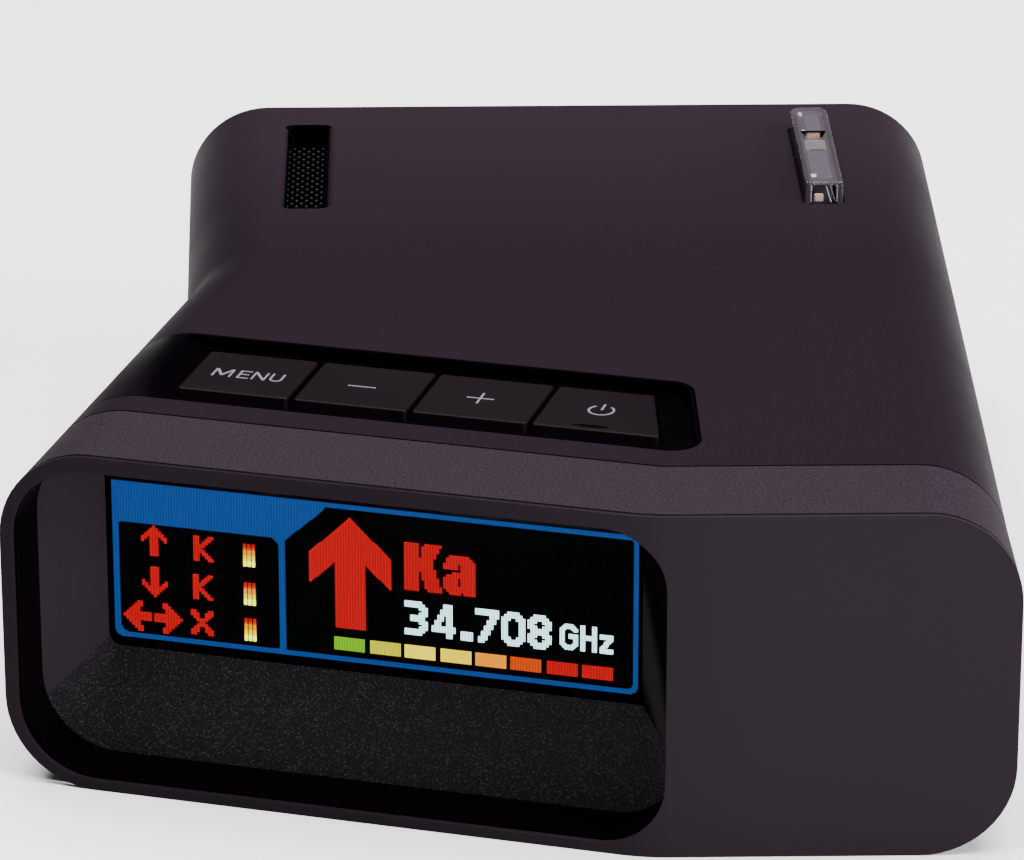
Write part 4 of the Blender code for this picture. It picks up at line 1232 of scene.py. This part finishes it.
INK_LOW, INK_HIGH = KEY_TOP - 0.05, KEY_TOP + 0.025
PEN = 0.21


def mark(name, outlines, node):
    """Printed shapes from flat outlines in the display frame's plan."""
    parts = [prism(f"{name}_{k}", outline, INK_LOW, INK_HIGH, "z", DISPLAY)
             for k, outline in enumerate(outlines)]
    show(join(name, parts), node, "key_black", INK)


LETTER_LOW, LETTER_HIGH = 22.85, 24.72


def letter(left, right, points):
    """Scales an outline drawn in a unit square to a letter's box."""
    return [(left + x * (right - left), LETTER_LOW + y * (LETTER_HIGH - LETTER_LOW)) for x, y in points]


LETTER_M = [(0, 0), (0, 1), (0.16, 1), (0.5, 0.36), (0.84, 1), (1, 1), (1, 0), (0.89, 0), (0.89, 0.78),
            (0.55, 0.14), (0.45, 0.14), (0.11, 0.78), (0.11, 0)]
LETTER_E = [(0, 0), (0, 1), (1, 1), (1, 0.89), (0.19, 0.89), (0.19, 0.57), (0.9, 0.57), (0.9, 0.46),
            (0.19, 0.46), (0.19, 0.11), (1, 0.11), (1, 0)]
LETTER_N = [(0, 0), (0, 1), (0.17, 1), (0.86, 0.22), (0.86, 1), (1, 1), (1, 0), (0.83, 0), (0.14, 0.78),
            (0.14, 0)]
HALF_PEN = PEN / 2
U_LEFT, U_RIGHT, U_BEND = -41.90, -40.66, 0.5
u_line = [(U_LEFT + HALF_PEN, LETTER_HIGH)]
u_line += arc((U_LEFT + HALF_PEN + U_BEND, LETTER_LOW + HALF_PEN + U_BEND), U_BEND, 180, 270, 6)
u_line += arc((U_RIGHT - HALF_PEN - U_BEND, LETTER_LOW + HALF_PEN + U_BEND), U_BEND, 270, 360, 6)
u_line.append((U_RIGHT - HALF_PEN, LETTER_HIGH))
mark("menu_mark", [letter(-47.40, -45.56, LETTER_M), letter(-44.98, -43.86, LETTER_E),
                   letter(-43.58, -42.24, LETTER_N), stroke(u_line, PEN)], "menu_key")
mark("minus_mark", [stroke([(-34.42, 23.78), (-31.78, 23.78)], PEN)], "volume_down_key")
PLUS, PLUS_REACH = (-21.83, 23.88), 1.30
plus = []
for sx, sy in ((1, 1), (1, -1), (-1, -1), (-1, 1)):
    corner = [(sx * HALF_PEN, sy * PLUS_REACH), (sx * HALF_PEN, sy * HALF_PEN),
              (sx * PLUS_REACH, sy * HALF_PEN)]
    plus += corner if sx == sy else corner[::-1]
mark("plus_mark", [[(PLUS[0] + x, PLUS[1] + y) for x, y in plus]], "volume_up_key")
POWER, POWER_RADIUS, POWER_GAP = (-10.45, 23.95), 1.15, 38
mark("power_mark", [stroke(arc(POWER, POWER_RADIUS, 90 + POWER_GAP, 450 - POWER_GAP, 30), PEN),
                    stroke([(POWER[0], POWER[1] + 0.05), (POWER[0], POWER[1] + 1.5)], PEN)], "power_key")

# Sockets on the right side, seen with the cover's openings round them.

SOCKET_FACE = SOCKETS["power_socket"][1].x


SPRING_WIDTH, SPRING_THICK = 0.55, 0.22
low, high = cad_box("power_contacts")
path = [(low.x, high.z - 0.25), (low.x + 2.4, high.z - 0.25), (high.x - 1.6, low.z - 0.9),
        (high.x, low.z - 0.3)]
springs = []
for k in range(4):
    y = low.y + SPRING_WIDTH + k * (high.y - low.y - 2 * SPRING_WIDTH) / 3
    springs.append(prism(f"power_spring_{k}", stroke(path, SPRING_THICK), y - SPRING_WIDTH / 2,
                         y + SPRING_WIDTH / 2, "y"))
show(join("power_contact_springs", springs), "housing", "sheet_metal", CONTACT, "power_contacts")

low, high = SOCKETS["audio_socket"]
audio = ((low.y + high.y) / 2, (low.z + high.z) / 2)
collar_profile = [(2.35, -1.0), (2.35, 0.02), (2.2, 0.14), (1.95, 0.12), (1.8, -0.15), (1.8, -1.0)]
collar = turned("audio_collar", [(radius, SOCKET_FACE + x) for radius, x in collar_profile], audio, "x")
show(shade(collar), "housing", "sheet_metal", SHEET)

PAD_PITCH, PAD_HALF = 1.0, 0.25
low, high = SOCKETS["data_socket"]
pads = []
for k in range(5):
    y = (low.y + high.y) / 2 + (k - 2) * PAD_PITCH
    pads.append(box(f"data_pad_{k}", (SOCKET_FACE - 7.5, SOCKET_FACE - 1.5), (y - PAD_HALF, y + PAD_HALF),
                    (low.z + 2.42, low.z + 2.6)))
show(join("data_contact_pads", pads), "housing", "sheet_metal", CONTACT)

# Screws in the base, with cross recesses.

HEAD_PROFILE = [(1.6, 0.0), (2.0, 0.12), (2.25, 0.5), (2.25, 1.45), (1.15, 1.5)]


def cross_arm(name, spot, low, along_x, along_y):
    """One arm of a cross recess, shorter and narrower at its foot."""
    rings = []
    for reach, half, height in ((1.25, 0.24, low - 0.1), (0.5, 0.16, low + 1.0)):
        corners = ((-reach, -half), (reach, -half), (reach, half), (-reach, half))
        rings.append(([(spot[0] + x * along_x - y * along_y, spot[1] + x * along_y + y * along_x)
                       for x, y in corners], height))
    return stack(name, rings)


for node in SCREWS:
    low, high = cad_box(node)
    spot = plan_centre(node)
    profile = [(radius, low.z + z) for radius, z in HEAD_PROFILE]
    screw = turned(f"{node}_head", profile + [(HEAD_PROFILE[-1][0], high.z)], spot)
    cut(screw, cross_arm("slot_0", spot, low.z, 1, 0), cross_arm("slot_1", spot, low.z, 0, 1))
    show(shade(screw), "housing", "screw_steel", SCREW, node)

# Laser window in the road-facing end: a plain pane with a softened outer edge.


def pane_outline(m):
    low, high = LASER
    return rounded_box(low.x + m, high.x - m, low.z + m, high.z - m, LASER_CORNER - m, steps=6)


PANE_BACK, PANE_FACE = LASER[0].y, LASER[1].y
pane = stack("laser_window_pane", [(pane_outline(0.0), PANE_BACK), (pane_outline(0.0), PANE_FACE - 0.25),
                                   (pane_outline(0.08), PANE_FACE - 0.08),
                                   (pane_outline(0.25), PANE_FACE)], "y")
show(shade(pane), "housing", "infrared_black", INFRARED, "laser_window")

# Speaker grille: a pressed sheet with staggered holes and small domed bumps between them.

GRILLE_LOW, GRILLE_HIGH = cad_box("speaker_grille")
PITCH = 1.0
HOLE_RADIUS = 0.30
BUMP_RADIUS = 0.20
BUMP_HEIGHT = 0.16


def hole_centres():
    """The holes' places, in rows staggered by half a pitch."""
    margin = PITCH * 0.6
    centres = []
    row = 0
    y = GRILLE_LOW.y + margin
    while y < GRILLE_HIGH.y - margin:
        x = GRILLE_LOW.x + margin + (PITCH / 2 if row % 2 else 0.0)
        while x < GRILLE_HIGH.x - margin:
            centres.append((x, y))
            x += PITCH
        y += PITCH * math.sin(math.pi / 3)
        row += 1
    return centres


def grille_sheet(centres):
    """Hexagonal cells, each with a round hole, welded into a sheet."""
    bm = bmesh.new()
    for centre in centres:
        inner, outer = [], []
        for k in range(12):
            angle = math.radians(30 * k)
            reach = PITCH / 2 if k % 2 == 0 else PITCH / math.sqrt(3)
            inner.append(bm.verts.new((*polar(centre, HOLE_RADIUS, angle), 0.0)))
            outer.append(bm.verts.new((*polar(centre, reach, angle), 0.0)))
        for k in range(12):
            bm.faces.new((inner[k - 1], outer[k - 1], outer[k], inner[k]))
    bmesh.ops.remove_doubles(bm, verts=bm.verts, dist=1e-3)
    bmesh.ops.translate(bm, verts=bm.verts, vec=(0.0, 0.0, GRILLE_HIGH.z - BUMP_HEIGHT))
    made = bmesh.ops.extrude_face_region(bm, geom=list(bm.faces))
    bottom = [g for g in made["geom"] if isinstance(g, bmesh.types.BMVert)]
    bmesh.ops.translate(bm, verts=bottom, vec=(0.0, 0.0, GRILLE_LOW.z + BUMP_HEIGHT - GRILLE_HIGH.z + 0.1))
    bmesh.ops.recalc_face_normals(bm, faces=bm.faces)
    return to_object(bm, "speaker_grille_sheet", BODY)


def grille_bumps(centres):
    """A dome between each hole and the next one in its row, sunk a little into the sheet."""
    bm = bmesh.new()
    rise = BUMP_HEIGHT + 0.02
    foot = GRILLE_HIGH.z - BUMP_HEIGHT - 0.02
    for x, y in centres:
        middle = (x + PITCH / 2, y)
        rings = []
        for angle in (math.radians(30 * k) for k in range(3)):
            height = foot + rise * math.sin(angle)
            radius = BUMP_RADIUS * math.cos(angle)
            rings.append([bm.verts.new((*polar(middle, radius, math.tau * j / 8), height)) for j in range(8)])
        top = bm.verts.new((*middle, GRILLE_HIGH.z))
        for lower, upper in zip(rings, rings[1:]):
            for j in range(8):
                bm.faces.new((lower[j - 1], lower[j], upper[j], upper[j - 1]))
        for j in range(8):
            bm.faces.new((rings[-1][j - 1], rings[-1][j], top))
        bm.faces.new(rings[0][::-1])
    bmesh.ops.recalc_face_normals(bm, faces=bm.faces)
    return to_object(bm, "speaker_grille_bumps", BODY)


HOLES = hole_centres()
# The sheet takes the near-black panel colour, darker than its own bumps: painted shade down in the slot.
show(shade(grille_sheet(HOLES), 50), "housing", "black_part", PANEL, "speaker_grille")
show(shade(grille_bumps(HOLES), 50), "housing", "black_part", BUMPS)
# A dark lining inside the grille slot's walls: painted shade, for the shadow in the slot.
grille_edge = slot_outline(GRILLE_X, GRILLE_WIDTH, SLOT_START, GRILLE_END)
slot_shade_lining = prism("speaker_slot_shade_lining", grille_edge(-0.02), HEIGHT - WALL - 0.2, HEIGHT - 0.75)
cut(slot_shade_lining, prism("frame_way", grille_edge(-0.16), HEIGHT - 4, HEIGHT + OVERCUT))
show(shade(slot_shade_lining), "housing", "black_part", PANEL)

# Light pipe for the rear laser receiver: a milky shell, open at its near end and base, over blocks and edges.

PIPE_LOW, PIPE_HIGH = cad_box("laser_light_pipe")
PIPE_WALL, PIPE_ROOF = 0.5, 0.3
NOTCH = (PIPE_HIGH.y - 9.9, PIPE_HIGH.y - 7.8)
NOTCH_NEAR_HALF, NOTCH_FAR_HALF = 0.80, 1.35


def pipe_outline(inset, far_radius, near):
    return rounded_box(PIPE_LOW.x + inset, PIPE_HIGH.x - inset, near, PIPE_HIGH.y - inset, 0.2, far_radius, 6)


notch_x = (PIPE_LOW.x + PIPE_HIGH.x) / 2
notch = [(notch_x - NOTCH_NEAR_HALF, NOTCH[0]), (notch_x + NOTCH_NEAR_HALF, NOTCH[0]),
         (notch_x + NOTCH_FAR_HALF, NOTCH[1]), (notch_x - NOTCH_FAR_HALF, NOTCH[1])]
pipe_bm = slab_bm(pipe_outline(0.0, 1.3, PIPE_LOW.y), PIPE_LOW.z, PIPE_HIGH.z)
round_edges(pipe_bm, lambda e: level(e, PIPE_HIGH.z), 0.35, 4)
pipe = to_object(pipe_bm, "light_pipe_shell", BODY)
cut(pipe, prism("pipe_inside", pipe_outline(PIPE_WALL, 0.8, PIPE_LOW.y - OVERCUT), PIPE_LOW.z - OVERCUT,
                PIPE_HIGH.z - PIPE_ROOF),
    prism("notch", notch, PIPE_HIGH.z - 2.0, PIPE_HIGH.z + OVERCUT))
show(shade(pipe), "housing", "clear_acrylic", MILKY, "laser_light_pipe")

# Blocks inside it: x from its left side, y, depths of the base and the top below its own top.
CORE_BASE, CORE_TOP = 3.6, 0.38
RAIL_SPAN = (PIPE_LOW.y + 0.3, PIPE_HIGH.y - 1.6)
for name, x, y, (base, top), material in (
        ("far_core", (1.3, 2.9), (NOTCH[1] + 0.1, PIPE_HIGH.y - 1.3), (CORE_BASE, CORE_TOP), FROST),
        ("near_core", (0.85, 2.95), (PIPE_LOW.y + 2.6, NOTCH[0] - 3.0), (CORE_BASE, CORE_TOP), FROST),
        ("step", (0.8, 3.1), (NOTCH[0] - 2.7, NOTCH[0] + 0.4), (CORE_BASE, CORE_TOP), PEARL),
        ("step_shadow", (1.3, 2.7), (NOTCH[0] - 3.0, NOTCH[0] - 2.7), (1.2, 0.36), PANEL),
        # Pale rails along the long sides: painted highlights on the clear part's edges.
        ("left_highlight_rail", (0.53, 0.66), RAIL_SPAN, (1.0, 0.36), LILAC),
        ("right_highlight_rail", (3.12, 3.27), RAIL_SPAN, (1.0, 0.36), LILAC),
        # A dark strip behind the notch: painted shade.
        ("notch_shade", (0.62, 3.18), (NOTCH[1] - 0.1, NOTCH[1] - 0.03), (1.6, 0.05), PANEL),
        ("notch_pad", (1.15, 2.65), (NOTCH[1] - 0.3, NOTCH[1] - 0.12), (0.85, 0.05), PEACH),
        ("near_pad", (0.9, 1.9), (PIPE_LOW.y + 0.5, PIPE_LOW.y + 0.9), (2.2, 1.45), PEACH),
        # White pieces that paint the glints on the clear part: painted highlights.
        ("far_glint", (0.68, 1.25), (NOTCH[1] + 0.3, NOTCH[1] + 1.5), (0.7, 0.34), GLINT),
        ("near_glint", (0.72, 1.36), (PIPE_LOW.y + 2.7, PIPE_LOW.y + 3.7), (0.6, 0.33), GLINT),
        ("corner_glint", (0.8, 1.25), (PIPE_HIGH.y - 1.2, PIPE_HIGH.y - 0.6), (0.7, 0.34), GLINT)):
    outline = rounded_box(PIPE_LOW.x + x[0], PIPE_LOW.x + x[1], y[0], y[1], 0.2, steps=3)
    block_bm = slab_bm(outline, PIPE_HIGH.z - base, PIPE_HIGH.z - top)
    round_edges(block_bm, lambda e: level(e, PIPE_HIGH.z - top), 0.15, 2)
    show(shade(to_object(block_bm, f"light_pipe_{name}", BODY)), "housing", "clear_acrylic", material)

# Thin edges inside its near end, painted pale for the light they catch: x of the top and of the foot,
# thickness and y.
LEG_TOP, LEG_FOOT, LEG_DEPTH = PIPE_HIGH.z - 0.5, PIPE_HIGH.z - 2.15, 0.12
for name, top_x, foot_x, thick, y in (("centre", 2.05, 2.55, 0.13, 0.15), ("right", 3.15, 3.15, 0.11, 0.15),
                                      ("left", 0.56, 0.56, 0.09, 0.15), ("cross", 2.5, 3.0, 0.06, 0.45)):
    outline = [(PIPE_LOW.x + foot_x, LEG_FOOT), (PIPE_LOW.x + foot_x + thick, LEG_FOOT),
               (PIPE_LOW.x + top_x + thick, LEG_TOP), (PIPE_LOW.x + top_x, LEG_TOP)]
    leg = prism(f"light_pipe_{name}_leg", outline, PIPE_LOW.y + y, PIPE_LOW.y + y + LEG_DEPTH, "y")
    show(leg, "housing", "clear_acrylic", LILAC)

# Floor, light and camera.

FLOOR_SPAN = (-3000, 3000)
floor = box("floor", FLOOR_SPAN, FLOOR_SPAN, (-5.0, -0.02))
floor_paint = Paint("pale_floor", (0.86, 0.86, 0.86), 0.7)
floor_paint.colour(floor_paint.mix(floor_paint.noise(0.05, 3.0), (0.85, 0.85, 0.85), (0.88, 0.88, 0.88)))
add_materials(floor, floor_paint.material)

world = bpy.data.worlds.new("studio")
bpy.context.scene.world = world
world.use_nodes = True
backdrop = world.node_tree.nodes["Background"]
backdrop.inputs["Color"].default_value = (1.0, 1.0, 1.0, 1.0)
backdrop.inputs["Strength"].default_value = 0.05


def area_light(name, spot, size, power):
    """A square white light that is aimed at the middle of the base."""
    light = bpy.data.lights.new(name, "AREA")
    light.shape = "RECTANGLE"
    light.size = light.size_y = size
    light.energy = power
    light.color = (1.0, 1.0, 1.0)
    obj = bpy.data.objects.new(name, light)
    obj.location = spot
    obj.rotation_euler = (Vector((0.0, 0.0, 0.0)) - Vector(spot)).to_track_quat("-Z", "Y").to_euler()
    bpy.context.scene.collection.objects.link(obj)


area_light("top_light", (0.0, 0.0, 1.2), 1.4, 72.0)
area_light("side_light", (1.1, -0.6, 0.5), 0.6, 34.0)

camera = bpy.data.objects.new("camera", bpy.data.cameras.new("camera"))
bpy.context.scene.collection.objects.link(camera)
CAMERA_SPOT = (-7.876, -432.528, 212.298)
DIP, YAW, ROLL = math.radians(21.661), math.radians(0.779), math.radians(-0.138)
ahead = Vector((math.sin(YAW) * math.cos(DIP), math.cos(YAW) * math.cos(DIP), -math.sin(DIP)))
right_hand = Vector((math.cos(YAW), -math.sin(YAW), 0.0))
upward = right_hand.cross(ahead)
across = right_hand * math.cos(ROLL) + upward * math.sin(ROLL)
above = upward * math.cos(ROLL) - right_hand * math.sin(ROLL)
turn = Matrix((across, above, -ahead)).transposed().to_4x4()
camera.matrix_world = BODY @ Matrix.Translation(CAMERA_SPOT) @ Matrix.Scale(1 / MM, 4) @ turn
camera.data.sensor_width = 36.0
camera.data.lens = 191.2
camera.data.shift_x = 0.0293
camera.data.shift_y = 0.0029
camera.data.clip_start = 0.01
camera.data.clip_end = 20.0
bpy.context.scene.camera = camera

# The CAD nodes that stay, inside the case and behind its openings.

CARRIED = (
    (PANEL, "display_panel"), (RIBBON, "display_ribbon"), (PAPER, "speaker_cone"), (WIRE, "speaker_wires"),
    (ACRYLIC, "laser_lens"), (INFRARED, "rear_laser_sensor front_laser_sensor"),
    (BOARD, "key_board mute_board rear_sensor_board front_sensor_board microwave_board gps_board main_board"),
    (BLACK, "mute_switch menu_switch volume_down_switch volume_up_switch power_switch processor"),
    (BLACK, "supply_capacitor power_socket audio_socket"), (CERAMIC, "gps_antenna supply_choke"),
    (CAST, "speaker_frame front_horn_antenna rear_horn_antenna"),
    (SHEET, "speaker_magnet shield_can data_socket"))
for material, nodes in CARRIED:
    for node in nodes.split():
        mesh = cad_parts[node].data
        mesh.materials.clear()
        mesh.materials.append(material)
